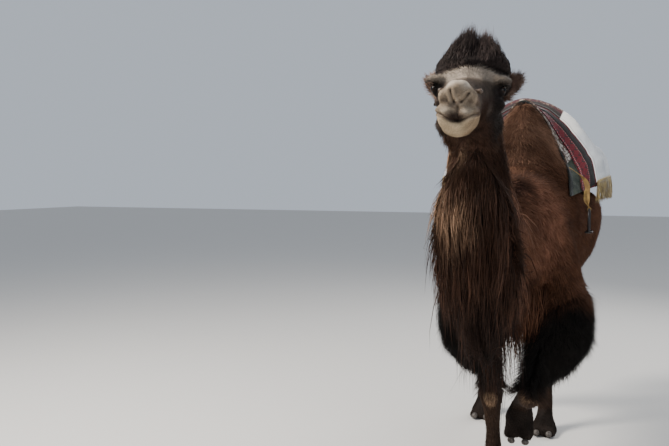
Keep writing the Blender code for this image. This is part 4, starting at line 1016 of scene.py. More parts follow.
def short_coat(name, kinds, seed, where=None, thinner=1.0, wider=1.0):
    """A piece of the short coat, of the like of the first of its parts."""
    kind = kinds[0]
    density, length, width, rise, bend, droop, steps = SHORT_COAT[kind]
    roots, normals, parts, draw = rooted(kinds, density * thinner, seed, where)
    lie = lie_of(roots, normals, parts, draw, 26.0 if kind == "ear" else 9.0)
    size = np.exp(draw.normal(size=len(roots)) * 0.20) * (1 + 0.18 * ripple(roots, 0.09, 31))
    if kind == "fore_upper":    # the sleeves reach towards each other under the chest
        size *= 1 + 0.60 * ramp(normals[:, 0] * -np.sign(roots[:, 0] + 0.04), 0.1, 0.7) * ramp(roots[:, 2], 1.05, 0.95)
    if kind == "neck_upper":    # shorter where the throat meets the jaw
        size *= 1 - 0.50 * ramp(in_head(roots)[:, 2], -0.29, -0.22)
    rises = rise + draw.normal(size=len(roots)) * 7
    lines, sides = swept(roots, normals, lie, length * size, rises, droop, steps, bend, draw, 0.10)
    keep = clear_of_tack(lines)
    lines[:, :, 2] = np.maximum(lines[:, :, 2], 0.003)
    widths = width * wider * np.exp(draw.normal(size=len(roots)) * 0.2)
    return lay_coat(name, lines[keep], sides[keep], widths[keep], roots[keep], parts[keep], draw)


WITHERS, LOIN = -0.12, 0.55    # where the trunk's coat is parted into pieces
short_coat("coat_trunk_front", ["trunk"], 101, lambda p: p[:, 1] < WITHERS)
short_coat("coat_trunk_middle", ["trunk"], 102, lambda p: (p[:, 1] >= WITHERS) & (p[:, 1] < LOIN))
short_coat("coat_trunk_rear", ["trunk"], 103, lambda p: p[:, 1] >= LOIN, 0.78, 1.12)
short_coat("coat_humps", ["hump_front", "hump_rear"], 104)
short_coat("coat_neck_upper", ["neck_upper"], 105)
short_coat("coat_neck_lower", ["neck_lower"], 106)
short_coat("coat_sleeve_left", ["fore_upper"], 107, lambda p: p[:, 0] > 0.0)
short_coat("coat_sleeve_right", ["fore_upper"], 108, lambda p: p[:, 0] <= 0.0)
short_coat("coat_hind_upper", ["hind_upper"], 109)
short_coat("coat_shanks", ["lower"], 110)
short_coat("coat_feet", ["foot"], 111, lambda p: p[:, 2] > 0.006)
short_coat("coat_tail", ["tail"], 112)
short_coat("coat_ears", ["ear"], 113)


# ---- The coat of the face --------------------------------------------------------------------------------------
# A velvet nap on nose and lips, lengthening up the forehead and over the cheeks to a ruff behind the jaw.
def face_coat(name, density, seed, where):
    roots, normals, parts, draw = rooted(["head", "jaw"], density, seed, where)
    a, b, c = in_face(roots).T
    lie = lie_of(roots, normals, parts, draw, 7.0)
    length = 0.0050 + 0.007 * ramp(b, -0.26, -0.10) + 0.014 * ramp(b, -0.04, 0.08)
    length += 0.014 * ramp(c, -0.10, -0.17) * ramp(b, -0.24, -0.12) + 0.006 * ramp(c, 0.05, 0.09) * ramp(b, -0.12, 0.0)
    eye = from_centre(points_in(np.abs(a), b, c), (0.136, -0.016, 0.012), 0.030)
    length *= 0.35 + 0.65 * ramp(eye, 0.9, 1.5)
    length += 0.005 * ramp(c - crest_rim(a, b), -0.018, 0.004) * ramp(b, -0.14, -0.06)
    length *= 1 - 0.55 * ramp(-a, 0.07, 0.10) * ramp(c, -0.015, -0.035) * ramp(c, -0.12, -0.085) * ramp(b, 0.06, 0.0)
    length *= np.exp(draw.normal(size=len(roots)) * 0.2)
    width = 0.0013 + 0.07 * length
    lines, sides = swept(roots, normals, lie, length, 14 + draw.normal(size=len(roots)) * 5, 0.03, 1, 10, draw)
    keep = eye >= 0.62
    return lay_coat(name, lines[keep], sides[keep], width[keep], roots[keep], parts[keep], draw, 0.16, 0.22)


face_coat("coat_face", 150000, 121, lambda p: in_head(p)[:, 1] < -0.10)
face_coat("coat_cheeks", 80000, 122, lambda p: in_head(p)[:, 1] >= -0.10)


# ---- The long hair ---------------------------------------------------------------------------------------------
# A stiff black-brown crest on the crown, and a mane, a beard and chest locks that hang from the neck and chest.
def combed(roots, normals, lie, length, steps, stand, rng, curl, pull=0.9):
    """Locks that leave the hide, then hang over it at a set distance without going through."""
    side = np.cross(lie, normals)
    place, line = roots.copy(), [roots.copy()]
    phase, beat = rng.uniform(0, 2 * math.pi, len(roots)), rng.uniform(3.0, 7.0, len(roots))
    close = ramp(in_head(roots)[:, 2], -0.38, -0.28)[:, None]
    way = unit(lie + np.array((0, 0, -0.8)) * close + normals * 0.9 * (1 - 0.85 * close))
    for step in range(steps):
        share = (step + 1) / steps
        way = unit(way * (1 - pull * share) + (lie * 0.5 + np.array((0, 0, -1.0))) * pull * share)
        wave = side * (curl * np.sin(phase + beat * share))[:, None] * (1 - 0.7 * close)
        place = place + unit(way + wave) * (length / steps)[:, None]
        wanted = stand * min(1.0, 0.35 + share)
        for number, spot in enumerate(place.tolist()):
            near, normal, _, distance = skin_tree.find_nearest(spot, 0.25)
            if near is None:
                continue
            gap = np.array(spot) - np.array(near)
            height = gap @ np.array(normal)
            if height < wanted[number]:
                place[number] = place[number] + np.array(normal) * (wanted[number] - height) * 0.8
        line.append(place.copy())
    return np.stack(line, 1), np.repeat(side[:, None], steps + 1, 1)


def long_locks(name, kinds, density, length, width, stand, steps, seed, where, curl, contrast):
    """Hanging locks: so many to a square metre, so long and wide, standing so far off the hide."""
    roots, normals, parts, draw = rooted(kinds, density, seed, where)
    lie = lie_of(roots, normals, parts, draw, 6.0)
    size = length * np.exp(draw.normal(size=len(roots)) * 0.22) * (1 + 0.2 * ripple(roots, 0.12, 41))
    size *= 1 - 0.4 * ramp(in_head(roots)[:, 2], -0.38, -0.26)
    high = stand * np.exp(draw.normal(size=len(roots)) * 0.3)
    high *= 1 - 0.6 * ramp(in_head(roots)[:, 2], -0.38, -0.28)
    lines, sides = combed(roots, normals, lie, size, steps, high, draw, curl)
    keep = clear_of_tack(lines)
    widths = width * np.exp(draw.normal(size=len(roots)) * 0.25)
    return lay_coat(name, lines[keep], sides[keep], widths[keep], roots[keep], parts[keep], draw, contrast, 0.55)


def front_of_neck(places):
    """The beard keeps to the front of the neck and thins out towards the shoulder."""
    limit = 0.065 + 0.14 * ramp(places[:, 2], 1.24, 1.02)
    throat = in_head(places)
    under_jaw = (throat[:, 2] > -0.285) & (throat[:, 1] < 0.10)
    return ~under_jaw & (places[:, 0] + 0.5 * (places[:, 1] + 0.80) < limit + 0.02 * ripple(places, 0.10, 45))


def under_chest(places):
    """The locks of the chest start between the forelegs and a little in front of them."""
    x, y, z = places.T
    return (z < 1.10) & (y > -0.86) & (y < -0.34) & (x > -0.14) & (x < 0.18)


long_locks("coat_mane", ["neck_upper"], 14500, 0.150, 0.0036, 0.024, 4, 131, front_of_neck, 0.12, 0.36)
long_locks("coat_beard", ["neck_lower"], 12500, 0.205, 0.0040, 0.034, 4, 132, front_of_neck, 0.12, 0.36)
long_locks("coat_chest", ["neck_lower", "trunk"], 11500, 0.290, 0.0046, 0.022, 3, 133, under_chest, 0.10, 0.3)

# the crest: stiff hair that stands up from the whole crown, bulges over its rim and ends in two ragged peaks
CREST_LOCKS, CREST_CLUMPS = 8600, 150
draw = np.random.default_rng(141)
across, back, height = in_head(skin_middles).T
crown_faces = skin_triangles[(height > crest_rim(across, back)) & (skin_kinds == KINDS.index("head"))]
pick, weights = spread_over(skin_points, crown_faces, CREST_LOCKS, draw)
roots = (skin_points[crown_faces[pick]] * weights[:, :, None]).sum(1)
local = in_head(roots)
from_middle = (local[:, :2] - (0.008, 0.080)) / (0.150, 0.135)
u, v = np.clip(from_middle, -1.1, 1.1).T
clumps = np.stack([draw.uniform(-1, 1, CREST_CLUMPS), draw.uniform(-1, 1, CREST_CLUMPS)], 1)
nearest = np.linalg.norm(from_middle[:, None] - clumps[None], axis=2).argmin(1)
gather = clumps[nearest]
gu, gv = (np.stack([u, v], 1) * 0.62 + gather * 0.38).T
tall = 0.156 * (1 - 0.62 * np.abs(gu - 0.04) ** 2.8)
tall *= 1 - 0.45 * np.clip(-gv, 0, 1) ** 3 - 0.45 * np.clip(gv, 0, 1) ** 2
tall -= 0.030 * np.exp(-(((gu - 0.06) / 0.11) ** 2)) * (tall > 0.10)
tall *= (1 + 0.08 * draw.normal(size=CREST_CLUMPS)[nearest]) * np.exp(draw.normal(size=len(roots)) * 0.07)
tall = np.minimum(tall, 0.176)
edge = np.clip(np.linalg.norm(from_middle, axis=1), 0, 1.1)
tall = tall * (1 - 0.52 * edge**3)
above_rim = ramp(local[:, 2] - crest_rim(local[:, 0], local[:, 1]), -0.004, 0.034)
above_rim = above_rim * np.exp(draw.normal(size=len(roots)) * 0.12)
reach = np.where(v < 0.4, 0.45 + 0.55 * np.minimum(above_rim, 1.05), 1)[:, None, None]
tips = points_in(0.018 + np.sign(gu) * np.abs(gu) ** 0.8 * 0.112, 0.078 + gv * 0.085,
                 local[:, 2] * 0.4 + 0.062 + np.maximum(tall, 0.040))
share = np.linspace(0, 1, 4)[None, :, None]
bow = points_in(u * np.where(u > 0, 0.075, 0.055), v * 0.050, 0 * edge)[:, None]
stray = draw.normal(size=(len(roots), 1, 3)) * 0.007
lines = local[:, None] * (1 - share) + tips[:, None] * share + bow * share * (1 - share) * 2 + stray * share**2
lines = local[:, None] + (lines - local[:, None]) * reach
lines = from_head(lines.reshape(-1, 3)).reshape(lines.shape)
sides = np.repeat(unit(np.cross(lines[:, -1] - lines[:, 0], draw.normal(size=(len(roots), 3))))[:, None], 4, 1)
crest_parts = np.zeros((len(roots), len(KINDS)))
crest_parts[:, KINDS.index("head")] = 1
crest_widths = 0.0035 * np.exp(draw.normal(size=len(roots)) * 0.25)
above = from_head(local + (0, 0, 0.05))
lay_coat("coat_crest", lines, sides, crest_widths, above, crest_parts, draw, 0.30, 0.7)

# the hide itself carries the same colours, a little darker, as seen between the tufts
carry_colour(skin.data, coat_colour(skin_points, skin_parts) * 0.62)
skin.data.materials.append(coat.made)
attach(skin, "root")
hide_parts(*FLESH, "ear_left", "ear_right", "crest")


# ---- Eyes and lashes -------------------------------------------------------------------------------------------
# Large dark eyes, wet and round, with a brown iris and the level pupil of a camel, under a row of long lashes.
LASHES = 46
eye_finish = Finish("eye", (0.012, 0.007, 0.005), 0.12, 0.10)
eye_finish.shader.inputs["Coat Weight"].default_value = 0.04
eye_finish.shader.inputs["Coat Roughness"].default_value = 0.03
angle = eye_finish.node("ShaderNodeAttribute", {"attribute_name": "angle"}, "Fac")
flecks = eye_finish.noise(eye_finish.place(), 260, 3)
iris = eye_finish.mixed((0.026, 0.013, 0.008), (0.012, 0.007, 0.005), flecks.between(0.35, 0.65))
iris = eye_finish.mixed((0.003, 0.003, 0.003), iris, angle.between(0.36, 0.44))
eye_finish.colour(eye_finish.mixed(iris, (0.008, 0.006, 0.005), angle.between(0.66, 0.78)))

for flip, side in ((1, "left"), (-1, "right")):
    centre, out, along, up = eye_frame(flip)
    bm = bmesh.new()
    bmesh.ops.create_uvsphere(bm, u_segments=40, v_segments=28, radius=1.0)
    ball = bpy.data.meshes.new(f"eyeball_{side}")
    bm.to_mesh(ball)
    bm.free()
    sphere = points_of(ball)
    sphere[:, 2] += 0.06 * falling(np.hypot(sphere[:, 0], sphere[:, 1]) / 0.62) * (sphere[:, 2] > 0)
    spread = np.arccos(np.clip(sphere[:, 2] / np.linalg.norm(sphere, axis=1), -1, 1))
    bearing = np.arctan2(sphere[:, 1], sphere[:, 0])
    pupil = np.hypot(spread * np.cos(bearing) * 0.62, spread * np.sin(bearing) * 1.25)
    shown = np.where(spread < 0.62, np.maximum(pupil, spread * 0.72), spread)
    local = centre + EYE_RADIUS * 0.985 * (sphere[:, :1] * along + sphere[:, 1:2] * up + sphere[:, 2:] * out)
    ball.vertices.foreach_set("co", from_head(local).astype(np.float32).ravel())
    ball.attributes.new("angle", "FLOAT", "POINT").data.foreach_set("value", shown.astype(np.float32))
    if np.linalg.det(np.stack([along, up, out])) < 0:
        ball.flip_normals()
    ball.shade_smooth()
    fitted(f"eyeball_{side}", ball, eye_finish.made, "eye", f"eye_{side}")
    # lashes stand out from the edge of the upper lid and curve down
    draw = np.random.default_rng(150 + flip)
    turn = np.linspace(0.12, math.pi - 0.12, LASHES) + draw.normal(size=LASHES) * 0.03
    margin = 0.74 + 0.26 * np.abs(np.cos(turn)) ** 2.6
    a, b = margin * np.cos(turn), margin * np.sin(turn) + 0.04
    root = centre + EYE_RADIUS * (a[:, None] * along + b[:, None] * up
                                  + np.sqrt(LID_BALL**2 - np.minimum(a * a + b * b, 1.2))[:, None] * out)
    steps = np.linspace(0, 1, 4)[None, :, None]
    reach = (0.020 * np.exp(draw.normal(size=LASHES) * 0.15))[:, None, None]
    fan = (out + 0.55 * up)[None] + 0.45 * np.cos(turn)[:, None] * along
    lash = root[:, None] + reach * (steps * fan[:, None] - steps**2 * 0.75 * up)
    lines = from_head(lash.reshape(-1, 3)).reshape(lash.shape)
    sides = np.repeat(unit(from_head(along) - from_head((0, 0, 0)))[None, None], LASHES, 0).repeat(4, 1)
    lash_mesh = tuft_mesh(f"lashes_{side}", lines, sides, np.full((LASHES, 1), 0.0011) * np.array(PROFILE[3]),
                          np.full((LASHES, 4, 3), 0.010), flat_place(lines[:, 0]), 0.8)
    fitted(f"lashes_{side}", lash_mesh, coat.made, "coat")


# ---- Toenails --------------------------------------------------------------------------------------------------
# Two blunt nails of grey horn on the front of each foot, ringed by slow growth and dark with dirt in patches.
ROUNDING = 2


def softened(name, new_name, finish, slot, moved=None):
    """A piece that stands for a small hard part, with its facets rounded off."""
    bm = bmesh.new()
    bm.from_mesh(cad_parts[name].data)
    if moved:
        for vert in bm.verts:
            vert.co = moved(vert.co)
    bmesh.ops.remove_doubles(bm, verts=bm.verts, dist=0.00005)
    bmesh.ops.join_triangles(bm, faces=bm.faces, angle_face_threshold=0.7, angle_shape_threshold=0.7)
    mesh = bpy.data.meshes.new(new_name)
    bm.to_mesh(mesh)
    bm.free()
    rounded = linked("rounded", mesh)
    rounding = rounded.modifiers.new("rounding", "SUBSURF")
    rounding.levels = rounding.render_levels = ROUNDING
    mesh = settled(rounded)
    bpy.data.objects.remove(rounded)
    mesh.name = new_name
    mesh.shade_smooth()
    mesh.materials.clear()
    return fitted(new_name, mesh, finish.made, slot, name)


horn = Finish("horn", (0.12, 0.10, 0.085), 0.45, 0.4)
place = horn.place()
rings = horn.noise(horn.stretched(place, (18, 18, 160)), 3, 2)
dirt = horn.noise(place, 90, 3)
horn.colour(horn.mixed(horn.mixed((0.045, 0.038, 0.034), (0.110, 0.094, 0.080), rings.between(0.3, 0.7)),
                       (0.028, 0.021, 0.017), dirt.between(0.45, 0.68)))
horn.roughness(dirt.between(0.3, 0.7, 0.35, 0.65))
horn.bump(rings, 0.0006)
for foot in ("fore_left", "fore_right", "hind_left", "hind_right"):
    for side in ("inner", "outer"):
        toe = points_of(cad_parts[f"nail_{foot}_{side}"].data).mean(0)
        heel = points_of(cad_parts[f"{foot}_foot"].data).mean(0)
        back = Vector(unit((heel - toe) * (1, 1, 0)) * 0.011) + Vector((0, 0, 0.001))
        softened(f"nail_{foot}_{side}", f"toenail_{foot}_{side}", horn, "toenail", lambda p: p + back)


# ---- The nose peg ----------------------------------------------------------------------------------------------
# A turned peg of dark wood through the nose, above the nostrils, with a lighter grain.
peg_wood = Finish("peg_wood", (0.22, 0.13, 0.075), 0.5, 0.4)
place = peg_wood.place()
grain = peg_wood.noise(peg_wood.stretched(place, (6, 60, 60)), 8, 3)
peg_wood.colour(peg_wood.mixed((0.040, 0.024, 0.016), (0.125, 0.080, 0.050), grain.between(0.3, 0.7)))
peg_wood.bump(grain, 0.0004)
softened("nose_peg", "peg", peg_wood, "peg",
         lambda p: Vector(from_head(swung(in_head(np.array(p)[None])))[0]))


# ---- Blankets --------------------------------------------------------------------------------------------------
# Felt, a knotted rug, a crimson rug with a border of lozenges, a dark rug and a pale sheet, laid one over another
# across the back. Each is one cloth, stiff with its own thickness, thinner along its edges.
BACK_LINE = np.array((0.0, 0.27335, 1.40))
HEM_ANGLE = math.radians(66)
BLANKET_ANGLES = np.linspace(-HEM_ANGLE, HEM_ANGLE, 13)
BLANKET_ROWS = np.array([-0.20, -0.165, -0.125, -0.085, -0.03, 0.04, 0.11, 0.18, 0.25, 0.32, 0.39])
FRONT_SWEEP, TOP_SWEEP = 0.25, 0.085
FELT_THICKNESS = 0.012
MEAN_REACH = 0.55    # how far the pile stands from the middle of the back, on the whole
CLOTH_STEPS = 9    # rows of faces between two rows of the pile


def row_y(row, angle):
    """How far back a row of the cloth lies at an angle from the top. The hem starts further forward."""
    left, down = 1 - row / (len(BLANKET_ROWS) - 1), np.clip(np.abs(angle) / HEM_ANGLE, 0, 1)
    at = np.interp(row, np.arange(len(BLANKET_ROWS)), BLANKET_ROWS)
    return at - FRONT_SWEEP * left * down**1.5 - TOP_SWEEP * left**2 * (1 - down)


def through(values, at):
    """A smooth curve through evenly spaced values, along the first axis."""
    low = np.clip(np.floor(at).astype(int), 0, len(values) - 2)
    t = (at - low).reshape(-1, *[1] * (values.ndim - 1))
    padded = np.concatenate([2 * values[:1] - values[1:2], values, 2 * values[-1:] - values[-2:-1]])
    p0, p1, p2, p3 = (padded[low + k] for k in range(4))
    return 0.5 * (2 * p1 + (p2 - p0) * t + (2 * p0 - 5 * p1 + 4 * p2 - p3) * t**2 + (3 * p1 - p0 - 3 * p2 + p3) * t**3)


def reach_of(tree, row, angle, far=1.5):
    """How far a surface stands from the middle of the back, at a row and an angle."""
    out = Vector((math.sin(angle), 0, math.cos(angle)))
    start = Vector(BACK_LINE) + Vector((0, row_y(row, angle), 0)) + out * far
    hit = tree.ray_cast(start, -out)
    return far - hit[3] if hit[0] else None


pad_trees = [tree_of(*tack_shapes[TACK.index(f"saddle_pad_{side}")]) for side in ("left", "right")]
# how far out the underside of the pile lies, and how far its front sinks into the coat of the hump
pile, pressed = np.zeros((2, len(BLANKET_ROWS), len(BLANKET_ANGLES)))
for row in range(len(BLANKET_ROWS)):
    for k, angle in enumerate(BLANKET_ANGLES * 0.998):
        pile[row, k] = reach_of(felt_tree, min(max(row, 0.02), 9.98), angle) - FELT_THICKNESS
        under = [(reach_of(skin_tree, row, angle) or 0) + FELT_THICKNESS]
        under += [(reach_of(tree, row, angle) or 0) + 0.002 for tree in pad_trees]
        pressed[row, k] = np.clip(pile[row, k] - max(under), 0, 0.075) * (1 - ramp(np.float64(row), 0.6, 3.6))
pressed[:, 1:-1] = (pressed[:, :-2] + 2 * pressed[:, 1:-1] + pressed[:, 2:]) / 4


def cloth(new_name, node, first, last, share, depth, thickness, finish, slot):
    """A blanket as a closed smooth sheet over the pile, with a map of its own in metres. Returns its outer face.

    It covers the rows from first to last and this share of the way down to the hem, and lies so deep in the pile."""
    rows = np.linspace(first, last, int((last - first) * CLOTH_STEPS) + 1)
    angles = np.linspace(-HEM_ANGLE * share, HEM_ANGLE * share, int(12 * share * CLOTH_STEPS) + 1)
    turns = (angles / HEM_ANGLE + 1) * 6
    reach = through(through(pile - pressed, rows).T, turns).T + depth + thickness
    ys = np.stack([row_y(rows, angle) for angle in angles], 1)
    flat = np.stack([angles[None].repeat(len(rows), 0) * MEAN_REACH, ys, 0 * ys], 2).reshape(-1, 3)
    sag = (ripple(flat, 0.16, 61) * 0.0022 + ripple(flat, 0.06, 62) * 0.0010).reshape(ys.shape)
    low = ramp(np.abs(angles), math.radians(50), HEM_ANGLE)[None]
    wave = np.sin(ys * 62 + 2.0 * np.sin(ys * 17)) * 0.0035 * low
    spine = np.stack([np.sin(angles), 0 * angles, np.cos(angles)], 1)[None]
    height, width = ys.shape
    from_end = np.minimum(np.arange(height), np.arange(height)[::-1])[:, None]
    from_hem = np.minimum(np.arange(width), np.arange(width)[::-1])[None]
    edge = np.minimum(from_end, from_hem)
    thin = np.where(edge == 0, 0.45, np.where(edge == 1, 0.9, 1.0)) * thickness
    middle = reach + sag + wave - thickness / 2
    axis = BACK_LINE + np.stack([0 * ys, ys, 0 * ys], 2)
    inner, outer = (axis + spine * (middle + way * thin / 2)[:, :, None] for way in (-1, 1))
    numbers = np.arange(height * width).reshape(height, width)
    quads = np.stack([numbers[:-1, :-1], numbers[1:, :-1], numbers[1:, 1:], numbers[:-1, 1:]], 2).reshape(-1, 4)
    rim = np.concatenate([numbers[:-1, 0], numbers[-1, :-1], numbers[:0:-1, -1], numbers[0, :0:-1]])
    after = np.roll(rim, -1)
    total = height * width
    walls = np.stack([rim, after, after + total, rim + total], 1)
    faces = np.concatenate([quads[:, ::-1], quads + total, walls])
    points = np.concatenate([inner.reshape(-1, 3), outer.reshape(-1, 3)])
    mesh = mesh_from(new_name, points, faces)
    bm = bmesh.new()
    bm.from_mesh(mesh)
    bmesh.ops.recalc_face_normals(bm, faces=bm.faces)
    bm.to_mesh(mesh)
    bm.free()
    mesh.shade_smooth()
    across = np.concatenate([[0], np.cumsum(np.linalg.norm(np.diff(outer[height // 2], axis=0), axis=1))])
    across -= across.mean()
    length = np.concatenate([[0], np.cumsum(np.linalg.norm(np.diff(outer[:, width // 2], axis=0), axis=1))])
    map_points = np.stack([across[None].repeat(height, 0), length[:, None].repeat(width, 1)], 2).reshape(-1, 2)
    layer = mesh.uv_layers.new(name="cloth")
    loops = np.empty(len(mesh.loops), np.int32)
    mesh.loops.foreach_get("vertex_index", loops)
    layer.data.foreach_set("uv", map_points[loops % total].astype(np.float32).ravel())
    piece = fitted(new_name, mesh, finish.made, slot, node)
    a, b, c, d = (outer.reshape(-1, 3)[quads[:, k]] for k in range(4))
    area = (np.linalg.norm(np.cross(b - a, c - a), axis=1) + np.linalg.norm(np.cross(c - a, d - a), axis=1)).sum() / 2
    return outer


def woven(finish, per_metre):
    """The map of a cloth in metres, its two coordinates across and along the back, and the ribs of its weave."""
    where = finish.node("ShaderNodeUVMap", {"uv_map": "cloth"}, "UV")
    parts = finish.nodes.new("ShaderNodeSeparateXYZ")
    finish.links.new(where.socket, parts.inputs[0])
    u, v = Value(finish, parts.outputs[0]), Value(finish, parts.outputs[1])
    warp = (u * (per_metre * 2 * math.pi)).math("SINE")
    weft = (v * (per_metre * 2 * math.pi)).math("SINE")
    return where, u, v, warp * weft


def folded(value, step):
    """Distance to the nearest multiple of step."""
    return ((value / step).math("FRACT") - 0.5).math("ABSOLUTE") * -step + step / 2


# the felt: grey-green, matted, bound with a black edge
felt = Finish("felt", (0.05, 0.06, 0.045), 0.95, 0.15, 0.3)
_, u, v, _ = woven(felt, 300)
mat = felt.noise(felt.place(), 34, 5, 0.65)
hairs = felt.noise(felt.stretched(felt.place(), (1, 1, 0.4)), 420, 3)
tone = felt.mixed((0.026, 0.034, 0.026), (0.075, 0.084, 0.062), mat.between(0.32, 0.68))
tone = felt.mixed(tone, (0.115, 0.112, 0.088), hairs.between(0.60, 0.78) * 0.6)
border = (v.between(0.030, 0.020) + u.math("ABSOLUTE").between(0.655, 0.665)).math("MINIMUM", 1.0)
felt.colour(felt.mixed(tone, (0.010, 0.012, 0.011), border))
felt.bump(mat * 0.6 + hairs, 0.0016)
cloth("felt", "felt_base", 0, 10, 1.0, 0.0, FELT_THICKNESS, felt, "felt")

# the knotted rug over the felt's front edge: brown, black and undyed wool in flecks
mottled = Finish("rug_mottled_wool", (0.3, 0.25, 0.2), 0.95, 0.1, 0.3)
where, _, _, weave = woven(mottled, 210)
flecks = mottled.node("ShaderNodeTexVoronoi", None, "Color", Vector=mottled.stretched(where, (60, 100, 1)), Scale=1.0)
fleck = mottled.node("ShaderNodeSeparateColor", None, 0, flecks)
speck = mottled.noise(mottled.stretched(where, (90, 90, 1)), 1.0, 4)
picked = fleck * 0.65 + speck * 0.5
mottled.colour(mottled.node("ShaderNodeValToRGB", {"stops": (
    (0.0, (0.028, 0.017, 0.013)), (0.40, (0.075, 0.040, 0.026)), (0.52, (0.19, 0.125, 0.085)),
    (0.60, (0.46, 0.40, 0.33)), (0.72, (0.62, 0.57, 0.50)), (0.80, (0.10, 0.045, 0.04)))}, 0, picked))
mottled.bump(speck + weave * 0.2, 0.0030)
cloth("rug_mottled_top", "rug_mottled", 0.15, 4, 0.60, 0.0135, 0.007, mottled, "rug_mottled")

# the crimson rug: rows of dark lozenges between pink and pale stitched lines
crimson = Finish("crimson_wool", (0.25, 0.02, 0.03), 0.9, 0.15, 0.3)
where, u, v, weave = woven(crimson, 260)
LOZENGE_WIDE, LOZENGE_LONG = 0.044, 0.034
lozenge = folded(u, LOZENGE_WIDE) / 0.022 + folded(v - 0.006, LOZENGE_LONG) / 0.017
inner = folded(u, LOZENGE_WIDE) / 0.011 + folded(v - 0.006, LOZENGE_LONG) / 0.0085
wool = crimson.noise(crimson.stretched(where, (140, 140, 1)), 1.0, 4)
tone = crimson.mixed((0.150, 0.008, 0.016), (0.075, 0.005, 0.010), wool.between(0.3, 0.7))
tone = crimson.mixed(tone, (0.020, 0.009, 0.012), lozenge.between(0.86, 0.78))
tone = crimson.mixed(tone, (0.170, 0.010, 0.020), inner.between(0.86, 0.74))
edge_line = folded(v - 0.006, LOZENGE_LONG).between(0.0026, 0.0014)
dots = folded(u, 0.0125).between(0.0042, 0.0030) * edge_line
tone = crimson.mixed(tone, (0.360, 0.170, 0.165), dots * v.between(0.10, 0.08))
dark_field = v.between(0.118, 0.126)
field = crimson.mixed((0.070, 0.060, 0.055), (0.150, 0.100, 0.045), crimson.noise(where, 26, 3).between(0.4, 0.6))
crimson.colour(crimson.mixed(tone, field, dark_field))
crimson.bump(weave * 0.35 + wool, 0.0012)
cloth("rug_crimson_top", "rug_crimson", 1.2, 9, 1.0, 0.022, 0.008, crimson, "rug_crimson")

# the dark rug: black-brown with a broad dull red stripe
dark = Finish("dark_wool", (0.02, 0.018, 0.018), 0.92, 0.12, 0.3)
where, _, v, weave = woven(dark, 240)
wool = dark.noise(dark.stretched(where, (120, 120, 1)), 1.0, 4)
tone = dark.mixed((0.0075, 0.0075, 0.0090), (0.020, 0.017, 0.018), wool.between(0.35, 0.65))
stripe = v.between(0.016, 0.019) * v.between(0.090, 0.084)
tone = dark.mixed(tone, dark.mixed((0.140, 0.010, 0.020), (0.060, 0.008, 0.012), wool.between(0.4, 0.6)), stripe)
dark.colour(tone)
dark.bump(weave * 0.35 + wool, 0.0012)
cloth("rug_dark_top", "rug_dark", 1.80, 8, 0.985, 0.0315, 0.008, dark, "rug_dark")

# the sheet: grey-white cotton, with a red saddle cloth sewn across its top, edged in black
cotton = Finish("sheet_cotton", (0.5, 0.5, 0.48), 0.85, 0.2, 0.2)
where, u, v, weave = woven(cotton, 380)
soil = cotton.noise(where, 9, 4)
slub = cotton.noise(cotton.stretched(where, (25, 260, 1)), 1.0, 3)
tone = cotton.mixed((0.480, 0.490, 0.500), (0.620, 0.630, 0.640), (soil * 0.7 + slub * 0.3).between(0.35, 0.65))
tone = cotton.mixed((0.760, 0.745, 0.700), tone, u.math("ABSOLUTE").between(0.24, 0.30))
side = u.math("ABSOLUTE")
red = cotton.mixed((0.300, 0.035, 0.045), (0.200, 0.018, 0.028), cotton.noise(where, 60, 3).between(0.4, 0.6))
tone = cotton.mixed(red, tone, side.between(0.062, 0.068))
tone = cotton.mixed((0.012, 0.012, 0.014), tone, (side - 0.071).math("ABSOLUTE").between(0.005, 0.008))
cap = side.between(0.166, 0.160) * v.between(0.134, 0.128)
knots = cotton.noise(where, 75, 3)
patterned = cotton.mixed((0.060, 0.012, 0.016), (0.230, 0.165, 0.120), knots.between(0.52, 0.62))
patterned = cotton.mixed(patterned, (0.020, 0.014, 0.013), v.between(0.030, 0.022))
tone = cotton.mixed(tone, patterned, cap)
hem = v.between(0.0075, 0.0060) * v.between(0.0035, 0.0050)
cotton.colour(cotton.mixed(tone, (0.20, 0.20, 0.20), hem * 0.6))
cotton.bump(weave * 0.4 + slub, 0.0007)
sheet_outer = cloth("sheet_top", "sheet_pale", 2.15, 8.2, 0.97, 0.041, 0.006, cotton, "sheet")


# ---- Fringes ---------------------------------------------------------------------------------------------------
# Gold threads knotted along both hems of the sheet, hanging plumb, a little tangled, under a narrow braid.
gold = Finish("fringe_gold", (0.34, 0.25, 0.10), 0.75, 0.3, 0.3)
strand = gold.noise(gold.stretched(gold.place(), (220, 220, 12)), 1.0, 3)
tint = gold.noise(gold.place(), 24, 2)
gold.colour(gold.mixed(gold.mixed((0.150, 0.095, 0.032), (0.480, 0.360, 0.150), strand.between(0.3, 0.7)),
                       (0.250, 0.200, 0.130), tint.between(0.45, 0.7)))
gold.bump(strand, 0.0008)


def tree_sockets(group, sizes):
    """Named inputs of a node group, with their values."""
    group.interface.new_socket("Geometry", in_out="INPUT", socket_type="NodeSocketGeometry")
    group.interface.new_socket("Geometry", in_out="OUTPUT", socket_type="NodeSocketGeometry")
    for name, value in sizes.items():
        kind = "NodeSocketInt" if isinstance(value, int) else "NodeSocketFloat"
        group.interface.new_socket(name, in_out="INPUT", socket_type=kind).default_value = value


def grown(name, source, group, sizes):
    """The mesh that a node group makes of a piece, with the sizes given."""
    modifier = source.modifiers.new("grown", "NODES")
    modifier.node_group = group
    for socket in group.interface.items_tree:
        if socket.in_out == "INPUT" and socket.name in sizes:
            modifier[socket.identifier] = sizes[socket.name]
    bpy.context.view_layer.update()
    mesh = bpy.data.meshes.new_from_object(source.evaluated_get(bpy.context.evaluated_depsgraph_get()))
    mesh.name = name
    bpy.data.objects.remove(source)
    return mesh


